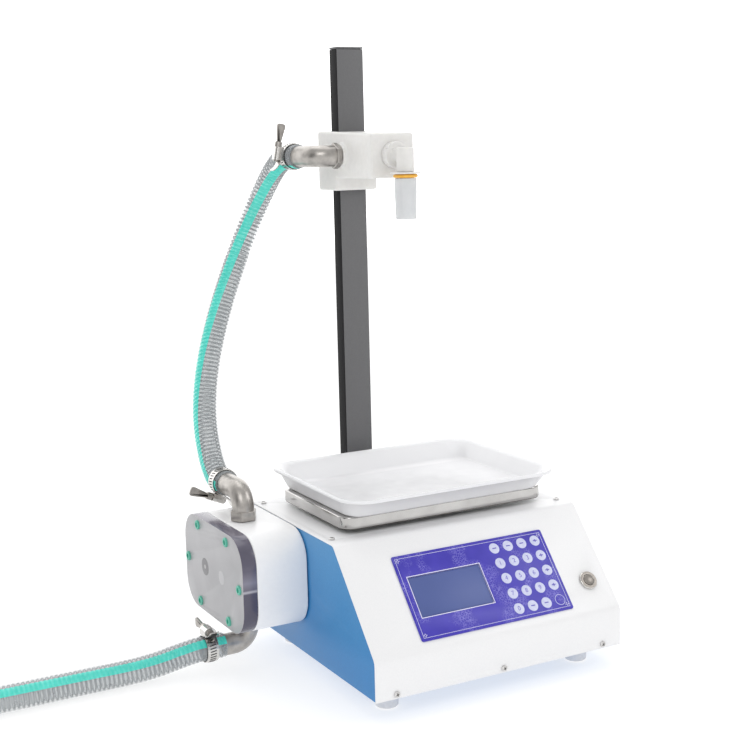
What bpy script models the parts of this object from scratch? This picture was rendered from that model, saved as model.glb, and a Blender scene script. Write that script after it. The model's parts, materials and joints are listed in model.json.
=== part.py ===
"""Bench-top weighing filler for honey and other thick liquids.

A gear pump on the left side of a sheet-metal base sends the liquid through a clear hose to a
nozzle block, which slides on a column behind the base. The jar stands on a tray on a weighing
platform, and a load cell under it stops the pump at the set weight.

+X is to the right along the front, +Y to the back, +Z up; the feet stand on z = 0.
"""

import math

import bmesh
import bpy
from mathutils import Matrix, Vector

MM = 0.001
GAP = 0.3 * MM  # between pieces that touch or run in one another

# ---- base: a folded cover over a blue chassis ------------------------------------------------
BASE_WIDTH = 280 * MM
BASE_DEPTH = 268 * MM
BASE_HEIGHT = 129.5 * MM
LIP_HEIGHT = 39 * MM  # upright strip below the keypad slope
SLOPE_RUN = 78 * MM  # how far back the slope reaches
LIP_BEND = 12 * MM
TOP_BEND = 8 * MM
SHEET = 1.5 * MM
SIDE_INSET = 0.8 * MM  # chassis sides behind the cover's edges
REAR_LIP = 12 * MM
FLANGE_HEIGHT = 14 * MM
FOOT_HEIGHT = 20 * MM
FOOT_RADIUS = 12 * MM
FOOT_FROM_SIDE = 30 * MM
FOOT_FROM_END = 34 * MM

# ---- keypad panel, in distances along and down the slope -------------------------------------
OVERLAY_LEFT = 53 * MM
OVERLAY_TOP = 23 * MM
OVERLAY_SIZE = (173.5 * MM, 87.5 * MM)
OVERLAY_THICK = 0.8 * MM
WINDOW_LEFT = 62.4 * MM
WINDOW_TOP = 46.3 * MM
WINDOW_SIZE = (80.5 * MM, 41.2 * MM)
BUTTON_AT = (256.3 * MM, 85.8 * MM)
BUTTON_RADIUS = 9.6 * MM
BUTTON_BARREL = 8 * MM
BUTTON_CAP = 5.6 * MM
BUTTON_TRAVEL = 2.5 * MM

# ---- gear pump on the left side --------------------------------------------------------------
PUMP_Y = 210 * MM  # centre, from the base's front
PUMP_BELOW_TOP = 50 * MM
PUMP_Z = BASE_HEIGHT - PUMP_BELOW_TOP  # centre, from the base's underside
PUMP_SIZE = (151 * MM, 98.5 * MM)
PUMP_CORNER = 29 * MM
PUMP_BODY = 53.6 * MM
PUMP_COVER = 15.2 * MM
GEAR_TEETH = 12
GEAR_SPACING = 43 * MM
GEAR_WIDTH = 37 * MM
GEAR_BACKLASH = 0.7 * MM
GEAR_PRESSURE_ANGLE = math.radians(25)
SHAFT_RADIUS = 6 * MM
JOURNAL_RADIUS = 8 * MM
JOURNAL_LENGTH = 8 * MM
SEAL_RADIUS = 12 * MM
SEAL_WIDTH = 7 * MM
COVER_SCREW_RADIUS = 4.8 * MM
PORT_X = -34 * MM  # both ports, from the base's left side

# ---- fittings and hoses ----------------------------------------------------------------------
PIPE_RADIUS = 11.2 * MM
PIPE_BORE = 8.5 * MM
ELBOW_BEND = 17 * MM
NUT_FLATS = 24 * MM
NUT_HEIGHT = 10 * MM
THIN_NUT = 6 * MM
THREAD_RADIUS = 10.2 * MM
THREAD_LENGTH = 8 * MM
OUTLET_RUN = 23 * MM  # straight ends of the elbows, inside the hoses' mouths
INLET_RUN = 11 * MM
CARRIAGE_RUN = 23.5 * MM
HOSE_RADIUS = 13 * MM
CLAMP_WIDTH = 12 * MM
CLAMP_BAND = 0.9 * MM
WORM_RADIUS = 3 * MM
HOUSING_SIZE = (14 * MM, 12 * MM, 8.6 * MM)

# ---- column and nozzle carriage --------------------------------------------------------------
COLUMN_SIZE = (32 * MM, 16.5 * MM)
COLUMN_WALL = 2 * MM
COLUMN_BEHIND = 15.5 * MM  # from the rear panel to the column
COLUMN_TOP = 601 * MM  # above the base's underside
CAP_THICK = 2 * MM
BLOCK_WIDTH = 50 * MM
BLOCK_TOP = 516 * MM
BLOCK_BACK_HEIGHT = 63.5 * MM
BLOCK_FRONT_HEIGHT = 50 * MM
BLOCK_DROP = 4.5 * MM  # how much lower the top is at the front
BLOCK_WALL_FRONT = 9 * MM  # clamp part, in front of the column
BLOCK_WALL_BACK = 16.5 * MM
BLOCK_REACH = 79.5 * MM  # front part, forward of the clamp part
BLOCK_CORNER = 3 * MM
CHANNEL_RADIUS = 8 * MM
CHANNEL_Z = 489.5 * MM
PORT_BEFORE_COLUMN = 25.5 * MM
BOSS_RADIUS = 12.6 * MM
BOSS_LENGTH = 5.5 * MM
NOZZLE_AHEAD = 25 * MM  # nozzle axis before the block's front face
STUB_RADIUS = 13.5 * MM
STUB_LENGTH = 9 * MM
STUB_BORE = 5.5 * MM
NOZZLE_RADIUS = 9 * MM
NOZZLE_BORE = 7.2 * MM
NOZZLE_TOP = 497 * MM
FLANGE_Z = 471.5 * MM
FLANGE_RADIUS = 15.8 * MM
FLANGE_THICK = 1.6 * MM
SEAL_RING = 1.9 * MM
TIP_TOP_RADIUS = 11.2 * MM
TIP_END_RADIUS = 10.4 * MM
TIP_BORE = 7.6 * MM
TIP_LENGTH = 41 * MM
KNOB_RADIUS = 12 * MM
KNOB_BELOW_TOP = 29.75 * MM
KNOB_LENGTH = 16 * MM
STUD_RADIUS = 4 * MM

# ---- weighing platform and tray --------------------------------------------------------------
TRAY_RIM = (246 * MM, 196 * MM)
TRAY_FLOOR_SIZE = (226 * MM, 158 * MM)
TRAY_HEIGHT = 20.5 * MM
TRAY_WALL = 2.4 * MM
TRAY_CORNER = 26 * MM
PLATFORM_SIZE = (234 * MM, 146 * MM)
PLATFORM_CORNER = 14 * MM
PLATFORM_SKIRT = 12.5 * MM
PLATFORM_THICK = 2 * MM
PLATFORM_LIFT = 5 * MM  # skirt's lower edge above the cover
CELL_SIZE = (120 * MM, 28 * MM, 22 * MM)
CELL_TOP = 118 * MM  # above the base's underside
CELL_TRAVEL = 1.2 * MM
POST_RADIUS = 9 * MM
POST_FROM_MID = 45 * MM

# ---- where the whole stands ------------------------------------------------------------------
PUMP_SCREW_HEAD = 3 * MM
LEFT_REACH = 3 * GAP + PUMP_BODY + PUMP_COVER + PUMP_SCREW_HEAD
SCREW_HEAD = 1.8 * MM
BACK_REACH = COLUMN_BEHIND + COLUMN_SIZE[1] + BLOCK_WALL_BACK
LEFT = LEFT_REACH - (LEFT_REACH + BASE_WIDTH) / 2  # x of the base's left side
FRONT = SCREW_HEAD - (SCREW_HEAD + BASE_DEPTH + BACK_REACH) / 2  # y of its front
FLOOR = FOOT_HEIGHT  # z of its underside
MID = LEFT + BASE_WIDTH / 2
REAR = FRONT + BASE_DEPTH
TOP = FLOOR + BASE_HEIGHT
COLUMN_FRONT = REAR + COLUMN_BEHIND
COLUMN_MID = COLUMN_FRONT + COLUMN_SIZE[1] / 2
BLOCK_BACK = COLUMN_FRONT + COLUMN_SIZE[1] + BLOCK_WALL_BACK
BLOCK_STEP = COLUMN_FRONT - BLOCK_WALL_FRONT
BLOCK_FRONT = BLOCK_STEP - BLOCK_REACH
NOZZLE_Y = BLOCK_FRONT - NOZZLE_AHEAD
PORT_Y = COLUMN_FRONT - PORT_BEFORE_COLUMN
TRAY_Y = NOZZLE_Y  # the jar stands under the nozzle

# ---- free hoses, as points on their centre lines; x and y are from the base's front left corner
# and z from the surface that the machine stands on. Each end starts with a straight leg, under
# its clamp, except the far end of the suction hose, which lies loose. -----------------------
DELIVERY_ROUTE = [
    (-34.0, 250.4, 178.0), (-34.0, 271.0, 178.0), (-33.7, 286.0, 187.5), (-32.0, 300.0, 201.0),
    (-28.8, 316.0, 220.0), (-23.5, 331.0, 242.0), (-15.5, 345.0, 267.0), (-5.0, 357.5, 295.0),
    (8.0, 369.0, 324.0), (22.5, 379.5, 353.0), (37.0, 387.0, 381.0), (50.5, 391.5, 408.0),
    (62.0, 391.5, 432.5), (71.0, 387.0, 454.5), (77.5, 377.5, 474.5), (82.0, 363.5, 492.5),
    (84.1, 346.0, 504.6), (84.5, 326.5, 509.5), (84.5, 298.9, 509.5),
]
SUCTION_LEAD = [
    (-62.4, 210.0, 21.5), (-88.0, 210.0, 21.5), (-110.0, 210.0, 18.8), (-130.0, 210.0, 15.6),
    (-150.0, 210.0, 13.8), (-172.0, 210.0, 13.2), (-200.0, 210.0, 13.2), (-235.0, 210.0, 13.2),
    (-272.0, 210.0, 13.2), (-310.0, 210.0, 13.2), (-350.0, 210.0, 13.2), (-385.0, 210.0, 13.2),
    (-420.0, 210.0, 13.2),
]
TURN_CENTRE = (-420.0, 345.0, 13.2)
TURN_RADIUS = 135.0
TURN_ANGLE = math.radians(290)
HOSE_STEP = 52 * MM
OUTLET_GRIP = 11 * MM  # from a hose's mouth to the middle of its clamp
INLET_GRIP = 16 * MM
CARRIAGE_GRIP = 18 * MM


# ---- shapes ----------------------------------------------------------------------------------
def arc(centre, radius, start, end, steps):
    """Points on an arc in a plane, from the angle start to the angle end."""
    angles = [start + (end - start) * i / steps for i in range(steps + 1)]
    return [(centre[0] + radius * math.cos(a), centre[1] + radius * math.sin(a)) for a in angles]


def circle(centre, radius, segments):
    return arc(centre, radius, 0, math.tau, segments)[:-1]


def rounded(points, radii, steps=5):
    """A closed outline with its corners rounded, one radius for each point or one for all."""
    if not isinstance(radii, (list, tuple)):
        radii = [radii] * len(points)
    outline = []
    for i, radius in enumerate(radii):
        here = Vector(points[i])
        if radius <= 0:
            outline.append(tuple(here))
            continue
        before = (Vector(points[i - 1]) - here).normalized()
        after = (Vector(points[(i + 1) % len(points)]) - here).normalized()
        half = before.angle(after) / 2
        centre = here + (before + after).normalized() * radius / math.sin(half)
        first = here + before * radius / math.tan(half) - centre
        last = here + after * radius / math.tan(half) - centre
        start = math.atan2(first.y, first.x)
        sweep = (math.atan2(last.y, last.x) - start + math.pi) % math.tau - math.pi
        outline += arc(centre, radius, start, start + sweep, steps)
    return outline


def rectangle(width, height, corner=0.0, centre=(0.0, 0.0), steps=5):
    x, y = width / 2, height / 2
    corners = [(-x, -y), (x, -y), (x, y), (-x, y)]
    return rounded([(centre[0] + a, centre[1] + b) for a, b in corners], corner, steps)


def extruded(outline, axis, low, high):
    """A closed solid of an outline along X, Y or Z; the outline's pairs are the other two."""
    bm = bmesh.new()
    order = {"X": (2, 0, 1), "Y": (0, 2, 1), "Z": (0, 1, 2)}[axis]
    ends = []
    for level in (low, high):
        corners = []
        for a, b in outline:
            triple = (a, b, level)
            corners.append(bm.verts.new([triple[k] for k in order]))
        ends.append(corners)
    count = len(outline)
    for i in range(count):
        j = (i + 1) % count
        bm.faces.new((ends[0][i], ends[0][j], ends[1][j], ends[1][i]))
    bm.faces.new(ends[0])
    bm.faces.new(ends[1])
    bmesh.ops.recalc_face_normals(bm, faces=bm.faces)
    return bm


def box(x, y, z):
    return extruded([(x[0], y[0]), (x[1], y[0]), (x[1], y[1]), (x[0], y[1])], "Z", *z)


def rod(axis, centre, radius, low, high, segments=24):
    return extruded(circle(centre, radius, segments), axis, low, high)


def turned(profile, axis, centre, segments=32):
    """A solid turned round an axis; the profile is a closed outline of (radius, height)."""
    bm = bmesh.new()
    order = {"X": (2, 0, 1), "Y": (0, 2, 1), "Z": (0, 1, 2)}[axis]
    rings = []
    for radius, height in profile:
        ring = []
        for a, b in circle(centre, max(radius, 0.0), segments) if radius > 0 else [centre]:
            triple = (a, b, height)
            ring.append(bm.verts.new([triple[k] for k in order]))
        rings.append(ring)
    for i, ring in enumerate(rings):
        after = rings[(i + 1) % len(rings)]
        if len(ring) == 1 and len(after) == 1:
            continue
        for k in range(segments):
            m = (k + 1) % segments
            if len(ring) == 1:
                bm.faces.new((ring[0], after[k], after[m]))
            elif len(after) == 1:
                bm.faces.new((ring[k], ring[m], after[0]))
            else:
                bm.faces.new((ring[k], ring[m], after[m], after[k]))
    bmesh.ops.recalc_face_normals(bm, faces=bm.faces)
    return bm


def swept(path, radius, segments=24):
    """A round solid along a path of points, with flat ends."""
    bm = bmesh.new()
    points = [Vector(p) for p in path]
    side = (points[1] - points[0]).orthogonal()
    rings = []
    for i, point in enumerate(points):
        along = (points[min(i + 1, len(points) - 1)] - points[max(i - 1, 0)]).normalized()
        side = (side - along * side.dot(along)).normalized()
        up = along.cross(side)
        angles = [math.tau * k / segments for k in range(segments)]
        spokes = [side * math.cos(a) + up * math.sin(a) for a in angles]
        rings.append([bm.verts.new(point + spoke * radius) for spoke in spokes])
    for ring, after in zip(rings, rings[1:]):
        for k in range(segments):
            m = (k + 1) % segments
            bm.faces.new((ring[k], ring[m], after[m], after[k]))
    bm.faces.new(rings[0])
    bm.faces.new(rings[-1])
    bmesh.ops.recalc_face_normals(bm, faces=bm.faces)
    return bm


def lofted(layers):
    """A solid through outlines of equal point counts, each with its height, in their order."""
    bm = bmesh.new()
    rings = [[bm.verts.new((x, y, z)) for x, y in outline] for outline, z in layers]
    count = len(rings[0])
    for ring, after in zip(rings, rings[1:]):
        for k in range(count):
            m = (k + 1) % count
            bm.faces.new((ring[k], ring[m], after[m], after[k]))
    bm.faces.new(rings[0])
    bm.faces.new(rings[-1])
    bmesh.ops.recalc_face_normals(bm, faces=bm.faces)
    return bm


# ---- objects ---------------------------------------------------------------------------------
def material(name, colour, roughness, metallic=0.0, transmission=0.0):
    made = bpy.data.materials.new(name)
    made.use_nodes = True
    shader = made.node_tree.nodes["Principled BSDF"]
    shader.inputs["Base Color"].default_value = (*colour, 1.0)
    shader.inputs["Roughness"].default_value = roughness
    shader.inputs["Metallic"].default_value = metallic
    shader.inputs["Transmission Weight"].default_value = transmission
    return made


def plain(bm, name="shape"):
    mesh = bpy.data.meshes.new(name)
    bm.to_mesh(mesh)
    bm.free()
    made = bpy.data.objects.new(name, mesh)
    bpy.context.collection.objects.link(made)
    return made


def combined(target, operation, tools):
    """Adds or cuts solids one after another, and removes them."""
    for tool in tools:
        other = plain(tool)
        step = target.modifiers.new(operation, "BOOLEAN")
        step.operation = operation
        step.solver = "EXACT"
        step.object = other
        bpy.context.view_layer.update()
        evaluated = target.evaluated_get(bpy.context.evaluated_depsgraph_get())
        result = bpy.data.meshes.new_from_object(evaluated)
        target.modifiers.clear()
        old = target.data
        target.data = result
        bpy.data.meshes.remove(old)
        bpy.data.objects.remove(other)


def node(name, bm, finish, body, add=(), cut=(), last=(), place=None):
    """One named piece: its solid, what is added, cut and added last, and where it stands.

    The shape is given in the machine's frame, or in a frame of its own that place puts there.
    """
    made = plain(bm, name)
    combined(made, "UNION", add)
    combined(made, "DIFFERENCE", cut)
    combined(made, "UNION", last)
    made.data.name = name
    made.data.materials.clear()
    made.data.materials.append(finish)
    made.data.shade_smooth()
    made.data.set_sharp_from_angle(angle=math.radians(35))
    if place is not None:
        made.data.transform(place)
    made.data.transform(Matrix.Translation(-body.matrix_world.translation))
    made.parent = body


def empty(name, at, parent=None):
    made = bpy.data.objects.new(name, None)
    bpy.context.collection.objects.link(made)
    made.parent = parent
    made.location = Vector(at) - (parent.matrix_world.translation if parent else Vector())
    bpy.context.view_layer.update()
    return made


for item in list(bpy.data.objects):
    bpy.data.objects.remove(item)

WHITE_SHEET = material("white_sheet", (0.90, 0.90, 0.91), 0.35)
BLUE_SHEET = material("blue_sheet", (0.05, 0.22, 0.60), 0.35)
RUBBER = material("white_rubber", (0.80, 0.80, 0.80), 0.6)
DARK_RUBBER = material("dark_rubber", (0.03, 0.03, 0.03), 0.7)
PANEL_FILM = material("panel_film", (0.10, 0.08, 0.55), 0.3)
DISPLAY = material("display", (0.10, 0.13, 0.36), 0.2)
BOARD = material("circuit_board", (0.02, 0.20, 0.08), 0.5)
STEEL = material("stainless_steel", (0.62, 0.60, 0.57), 0.25, 1.0)
ALUMINIUM = material("aluminium", (0.70, 0.70, 0.72), 0.4, 1.0)
DARK_PAINT = material("dark_paint", (0.06, 0.06, 0.065), 0.45)
WHITE_PLASTIC = material("white_plastic", (0.85, 0.85, 0.84), 0.4)
TRAY_PLASTIC = material("tray_plastic", (0.88, 0.88, 0.90), 0.3)
CLEAR_COVER = material("smoky_cover", (0.30, 0.28, 0.33), 0.3, 0.0, 0.6)
TEAL = material("teal_screws", (0.10, 0.55, 0.38), 0.4)
HOSE = material("clear_hose", (0.75, 0.80, 0.78), 0.2, 0.0, 0.5)
SEAL_ORANGE = material("orange_seal", (0.95, 0.45, 0.03), 0.4)
TIP_PLASTIC = material("tip_plastic", (0.80, 0.82, 0.82), 0.35, 0.0, 0.4)
GEAR_PLASTIC = material("gear_plastic", (0.85, 0.84, 0.80), 0.4)

BASE = empty("base", (LEFT, FRONT, FLOOR))


def at(x, y, z):
    """A point given from the base's front left corner, at its underside."""
    return (LEFT + x, FRONT + y, FLOOR + z)


# ---- base ------------------------------------------------------------------------------------
SLOPE_ANGLE = math.atan2(BASE_HEIGHT - LIP_HEIGHT, SLOPE_RUN)
SLOPE_UP = Vector((0, math.cos(SLOPE_ANGLE), math.sin(SLOPE_ANGLE)))
SLOPE_OUT = Vector((0, -math.sin(SLOPE_ANGLE), math.cos(SLOPE_ANGLE)))
# the panel's own frame: its origin at the slope's top left, y up the slope, z out of it
PANEL = Matrix.Translation(at(0, SLOPE_RUN, BASE_HEIGHT)) @ Matrix(
    [(1, SLOPE_UP.x, SLOPE_OUT.x), (0, SLOPE_UP.y, SLOPE_OUT.y), (0, SLOPE_UP.z, SLOPE_OUT.z)]
).to_4x4()
DRIVE_Y = PUMP_Y + GEAR_SPACING / 2
SPIGOT_RADIUS = SEAL_RADIUS + 3 * MM
SPIGOT_END = 4 * MM
SCREW_RADIUS = 3 * MM
SHANK_RADIUS = 1.5 * MM
SHANK_LENGTH = 7 * MM
HOLE = SHANK_RADIUS + GAP
FRONT_SCREW_Z = 4.5 * MM
FRONT_SCREWS = [22 * MM, BASE_WIDTH / 2, BASE_WIDTH - 22 * MM]
TOP_SCREWS = [
    (8 * MM, SLOPE_RUN + 18 * MM),
    (BASE_WIDTH - 8 * MM, SLOPE_RUN + 18 * MM),
    (8 * MM, BASE_DEPTH - 14 * MM),
    (BASE_WIDTH - 8 * MM, BASE_DEPTH - 14 * MM),
]
INLET_SIZE = (52 * MM, 30 * MM)
INLET_FROM_RIGHT = 80 * MM
INLET_AT = (BASE_WIDTH - INLET_FROM_RIGHT, 40 * MM)  # its centre on the rear panel
SUPPLY_WIDTH = 88 * MM
SUPPLY_FROM_RIGHT = 16 * MM
BRACKET_FROM, BRACKET_TO = 10 * MM, 110 * MM


def side_line(offset):
    """The cover's bent line seen from the side, moved inwards, from front foot to rear lip."""
    slip = offset * (1 - math.sin(SLOPE_ANGLE)) / math.cos(SLOPE_ANGLE)
    rise = LIP_HEIGHT - offset * math.cos(SLOPE_ANGLE) + slip * math.sin(SLOPE_ANGLE)
    back = offset * math.sin(SLOPE_ANGLE)
    back -= offset * (1 - math.cos(SLOPE_ANGLE)) / math.tan(SLOPE_ANGLE)
    flat = [
        (offset, 0),
        (offset, rise),
        (SLOPE_RUN + back, BASE_HEIGHT - offset),
        (BASE_DEPTH - offset, BASE_HEIGHT - offset),
    ]
    return [(FRONT + y, FLOOR + z) for y, z in flat]


def base_shell():
    outer, inner = side_line(0), side_line(SHEET)
    rear = [(REAR, TOP - REAR_LIP), (REAR - SHEET, TOP - REAR_LIP)]
    outline = rounded(
        outer + rear + inner[::-1],
        [0, LIP_BEND, TOP_BEND, 2 * MM, 0, 0, 0.5 * MM, TOP_BEND - SHEET, LIP_BEND - SHEET, 0],
        6,
    )
    window_x = WINDOW_LEFT + WINDOW_SIZE[0] / 2
    window_y = -WINDOW_TOP - WINDOW_SIZE[1] / 2
    window = extruded(
        rectangle(*WINDOW_SIZE, 0, (window_x, window_y)), "Z", -3 * MM, 3 * MM
    )
    window.transform(PANEL)
    push = rod("Z", (BUTTON_AT[0], -BUTTON_AT[1]), BUTTON_BARREL + GAP, -3 * MM, 3 * MM)
    push.transform(PANEL)
    post = rod("Z", at(BASE_WIDTH / 2 + POST_FROM_MID, 0, 0)[:1] + (TRAY_Y,),
               POST_RADIUS + 3 * MM, TOP - 5 * MM, TOP + 5 * MM)
    holes = [window, push, post]
    for x in FRONT_SCREWS:
        holes.append(rod("Y", (LEFT + x, FLOOR + FRONT_SCREW_Z), HOLE, FRONT - MM, FRONT + 2 * MM, 12))
    for x, y in TOP_SCREWS:
        holes.append(rod("Z", (LEFT + x, FRONT + y), HOLE, TOP - 3 * MM, TOP + MM, 12))
    node("top_cover", extruded(outline, "X", LEFT, LEFT + BASE_WIDTH), WHITE_SHEET, BASE, cut=holes)

    edge = SHEET + GAP
    sides = side_line(edge) + [(REAR - edge, FLOOR)]
    sides = rounded(sides, [0, LIP_BEND - edge, TOP_BEND - edge, 0, 0], 6)
    inside = (LEFT + SIDE_INSET + SHEET, LEFT + BASE_WIDTH - SIDE_INSET - SHEET)
    hollow = box(inside, (FRONT - MM, REAR + MM), (FLOOR + FLANGE_HEIGHT, TOP + MM))
    well = box(
        inside, (FRONT + edge + SHEET, REAR - edge - SHEET), (FLOOR + SHEET, FLOOR + FLANGE_HEIGHT + MM)
    )
    holes = [hollow, well]
    holes.append(rod("X", (FRONT + DRIVE_Y, FLOOR + PUMP_Z), SPIGOT_RADIUS + GAP, LEFT - MM, LEFT + 5 * MM, 32))
    for x in FRONT_SCREWS:
        holes.append(rod("Y", (LEFT + x, FLOOR + FRONT_SCREW_Z), HOLE, FRONT, FRONT + 5 * MM, 12))
    walls = extruded(sides, "X", LEFT + SIDE_INSET, LEFT + BASE_WIDTH - SIDE_INSET)
    node("chassis", walls, BLUE_SHEET, BASE, cut=holes)

    panel = box((LEFT, LEFT + BASE_WIDTH), (REAR - SHEET, REAR), (FLOOR, TOP - REAR_LIP - GAP))
    x, z = INLET_AT
    opening = box(
        (LEFT + x - INLET_SIZE[0] / 2 + 3 * MM, LEFT + x + INLET_SIZE[0] / 2 - 3 * MM),
        (REAR - 3 * MM, REAR + MM),
        (FLOOR + z - INLET_SIZE[1] / 2 + 3 * MM, FLOOR + z + INLET_SIZE[1] / 2 - 3 * MM),
    )
    node("rear_panel", panel, BLUE_SHEET, BASE, cut=[opening])


def screw(name, axis, centre, face, out, body=None, finish=None, head=SCREW_RADIUS,
          height=SCREW_HEAD - GAP, shank=SHANK_RADIUS, length=SHANK_LENGTH):
    """A screw whose head stands a gap off the face, with its shank through it."""
    low, high = sorted((face + out * GAP, face + out * (GAP + height)))
    body_of_head = rod(axis, centre, head, low, high, 16)
    low, high = sorted((face + out * (GAP + height / 2), face - out * length))
    node(name, body_of_head, finish or STEEL, body or BASE, add=[rod(axis, centre, shank, low, high, 12)])


def base_fasteners():
    for i, x in enumerate(FRONT_SCREWS, 1):
        screw(f"front_screw_{i}", "Y", (LEFT + x, FLOOR + FRONT_SCREW_Z), FRONT, -1)
    for i, (x, y) in enumerate(TOP_SCREWS, 1):
        screw(f"top_screw_{i}", "Z", (LEFT + x, FRONT + y), TOP, 1)


def feet():
    profile = [
        (0, 0),
        (FOOT_RADIUS - 2 * MM, 0),
        (FOOT_RADIUS - 1 * MM, 1.5 * MM),
        (FOOT_RADIUS, FOOT_HEIGHT - GAP),
        (0, FOOT_HEIGHT - GAP),
    ]
    for end, y in (("front", FOOT_FROM_END), ("rear", BASE_DEPTH - FOOT_FROM_END)):
        for side, x in (("left", FOOT_FROM_SIDE), ("right", BASE_WIDTH - FOOT_FROM_SIDE)):
            centre = (LEFT + x, FRONT + y)
            node(f"foot_{end}_{side}", turned(profile, "Z", centre, 24), RUBBER, BASE)


# ---- keypad panel and electronics ------------------------------------------------------------
def panel_parts():
    width, height = OVERLAY_SIZE
    centre = (OVERLAY_LEFT + width / 2, -OVERLAY_TOP - height / 2)
    window = (WINDOW_LEFT + WINDOW_SIZE[0] / 2, -WINDOW_TOP - WINDOW_SIZE[1] / 2)
    film = extruded(rectangle(width, height, 2 * MM, centre, 3), "Z", GAP, GAP + OVERLAY_THICK)
    hole = extruded(rectangle(*WINDOW_SIZE, 0, window), "Z", -MM, 2 * MM)
    node("keypad_overlay", film, PANEL_FILM, BASE, cut=[hole], place=PANEL)

    under = -(SHEET + GAP)
    depth = 9 * MM
    module = extruded(
        rectangle(WINDOW_SIZE[0] + 12 * MM, WINDOW_SIZE[1] + 12 * MM, 0, window), "Z", under - depth, under
    )
    glass = extruded(
        rectangle(WINDOW_SIZE[0] - 2 * GAP, WINDOW_SIZE[1] - 2 * GAP, 0, window), "Z", under - MM, GAP
    )
    node("display_module", module, DISPLAY, BASE, add=[glass], place=PANEL)

    board = rectangle(width - 6 * MM, height - 6 * MM, 0, centre)
    level = under - depth - 4 * MM
    node("control_board", extruded(board, "Z", level - 1.6 * MM, level), BOARD, BASE, place=PANEL)


def start_button():
    x, y = BUTTON_AT[0], -BUTTON_AT[1]
    bore = BUTTON_CAP + GAP
    under = 4.5 * MM
    bezel = [
        (0, -20 * MM),
        (BUTTON_BARREL, -20 * MM),
        (BUTTON_BARREL, GAP),
        (BUTTON_RADIUS, GAP),
        (BUTTON_RADIUS, 1.6 * MM),
        (BUTTON_RADIUS - 0.8 * MM, 2.3 * MM),
        (bore, 2.3 * MM),
        (bore, -under - BUTTON_TRAVEL - GAP),
        (0, -under - BUTTON_TRAVEL - GAP),
    ]
    node("button_body", turned(bezel, "Z", (x, y), 24), STEEL, BASE, place=PANEL)
    cap = [
        (0, -under),
        (BUTTON_CAP, -under),
        (BUTTON_CAP, 2.6 * MM),
        (BUTTON_CAP - 0.8 * MM, 3.1 * MM),
        (0, 3.4 * MM),
    ]
    centre = PANEL @ Vector((x, y, 0))
    button = empty("start_button", centre, BASE)
    node("button_cap", turned(cap, "Z", (x, y), 24), STEEL, button, place=PANEL)


def electronics():
    side = LEFT + BASE_WIDTH - SUPPLY_FROM_RIGHT
    supply = box((side - SUPPLY_WIDTH, side), (FRONT + 184 * MM, FRONT + 244 * MM),
                 (FLOOR + SHEET + GAP, FLOOR + 40 * MM))
    node("power_supply", supply, ALUMINIUM, BASE)

    x, z = INLET_AT
    width, height = INLET_SIZE
    flange = box((LEFT + x - width / 2, LEFT + x + width / 2), (REAR + GAP, REAR + 3 * MM),
                 (FLOOR + z - height / 2, FLOOR + z + height / 2))
    inner = 3 * MM + GAP
    housing = box((LEFT + x - width / 2 + inner, LEFT + x + width / 2 - inner),
                  (REAR - 20 * MM, REAR + MM),
                  (FLOOR + z - height / 2 + inner, FLOOR + z + height / 2 - inner))
    socket = box((LEFT + x - 21 * MM, LEFT + x + MM), (REAR - 16 * MM, REAR + 4 * MM),
                 (FLOOR + z - 9 * MM, FLOOR + z + 9 * MM))
    rocker_x = LEFT + x + 12 * MM
    window = box((rocker_x - 7 * MM, rocker_x + 7 * MM), (REAR - 12 * MM, REAR + 4 * MM),
                 (FLOOR + z - 10 * MM, FLOOR + z + 10 * MM))
    node("power_inlet", flange, DARK_RUBBER, BASE, add=[housing], cut=[socket, window])

    pivot = (rocker_x, REAR - 2 * MM, FLOOR + z)
    switch = empty("power_switch", pivot, BASE)
    tilt = math.radians(7)
    outline = [(-5 * MM, -8 * MM), (4.5 * MM, -8.6 * MM), (3.4 * MM, 0), (4.5 * MM, 8.6 * MM), (-5 * MM, 8 * MM)]
    shape = extruded(outline, "X", -6.2 * MM, 6.2 * MM)
    turn = Matrix.Translation(pivot) @ Matrix.Rotation(tilt, 4, "X")
    node("rocker", shape, DARK_RUBBER, switch, place=turn)


# ---- pump ------------------------------------------------------------------------------------
PUMP_RIGHT = LEFT - GAP
PUMP_LEFT = PUMP_RIGHT - PUMP_BODY
COVER_RIGHT = PUMP_LEFT - GAP
COVER_LEFT = COVER_RIGHT - PUMP_COVER
PITCH_RADIUS = GEAR_SPACING / 2
MODULE = 2 * PITCH_RADIUS / GEAR_TEETH
TIP_RADIUS = PITCH_RADIUS + 0.85 * MODULE
ROOT_RADIUS = PITCH_RADIUS - 1.08 * MODULE
COVER_SCREW_SHANK = 3 * MM
COVER_SCREW_GRIP = 12 * MM
PORT_RADIUS = THREAD_RADIUS + GAP


def gear_outline():
    """An involute gear, its flanks eased by the backlash, with a tooth on the +y side."""
    base = PITCH_RADIUS * math.cos(GEAR_PRESSURE_ANGLE)
    at_pitch = math.tan(GEAR_PRESSURE_ANGLE) - GEAR_PRESSURE_ANGLE
    half_tooth = math.pi / (2 * GEAR_TEETH) - GEAR_BACKLASH / (2 * PITCH_RADIUS)
    flank = [(ROOT_RADIUS, half_tooth + at_pitch)]
    for i in range(5):
        radius = base + (TIP_RADIUS - base) * i / 4
        bend = math.acos(min(base / radius, 1.0))
        flank.append((radius, half_tooth + at_pitch - (math.tan(bend) - bend)))
    points = []
    for tooth in range(GEAR_TEETH):
        middle = math.pi / 2 + math.tau * tooth / GEAR_TEETH
        points += [(r, middle - a) for r, a in flank]
        points += [(r, middle + a) for r, a in reversed(flank)]
    return [(r * math.cos(a), r * math.sin(a)) for r, a in points]


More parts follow.
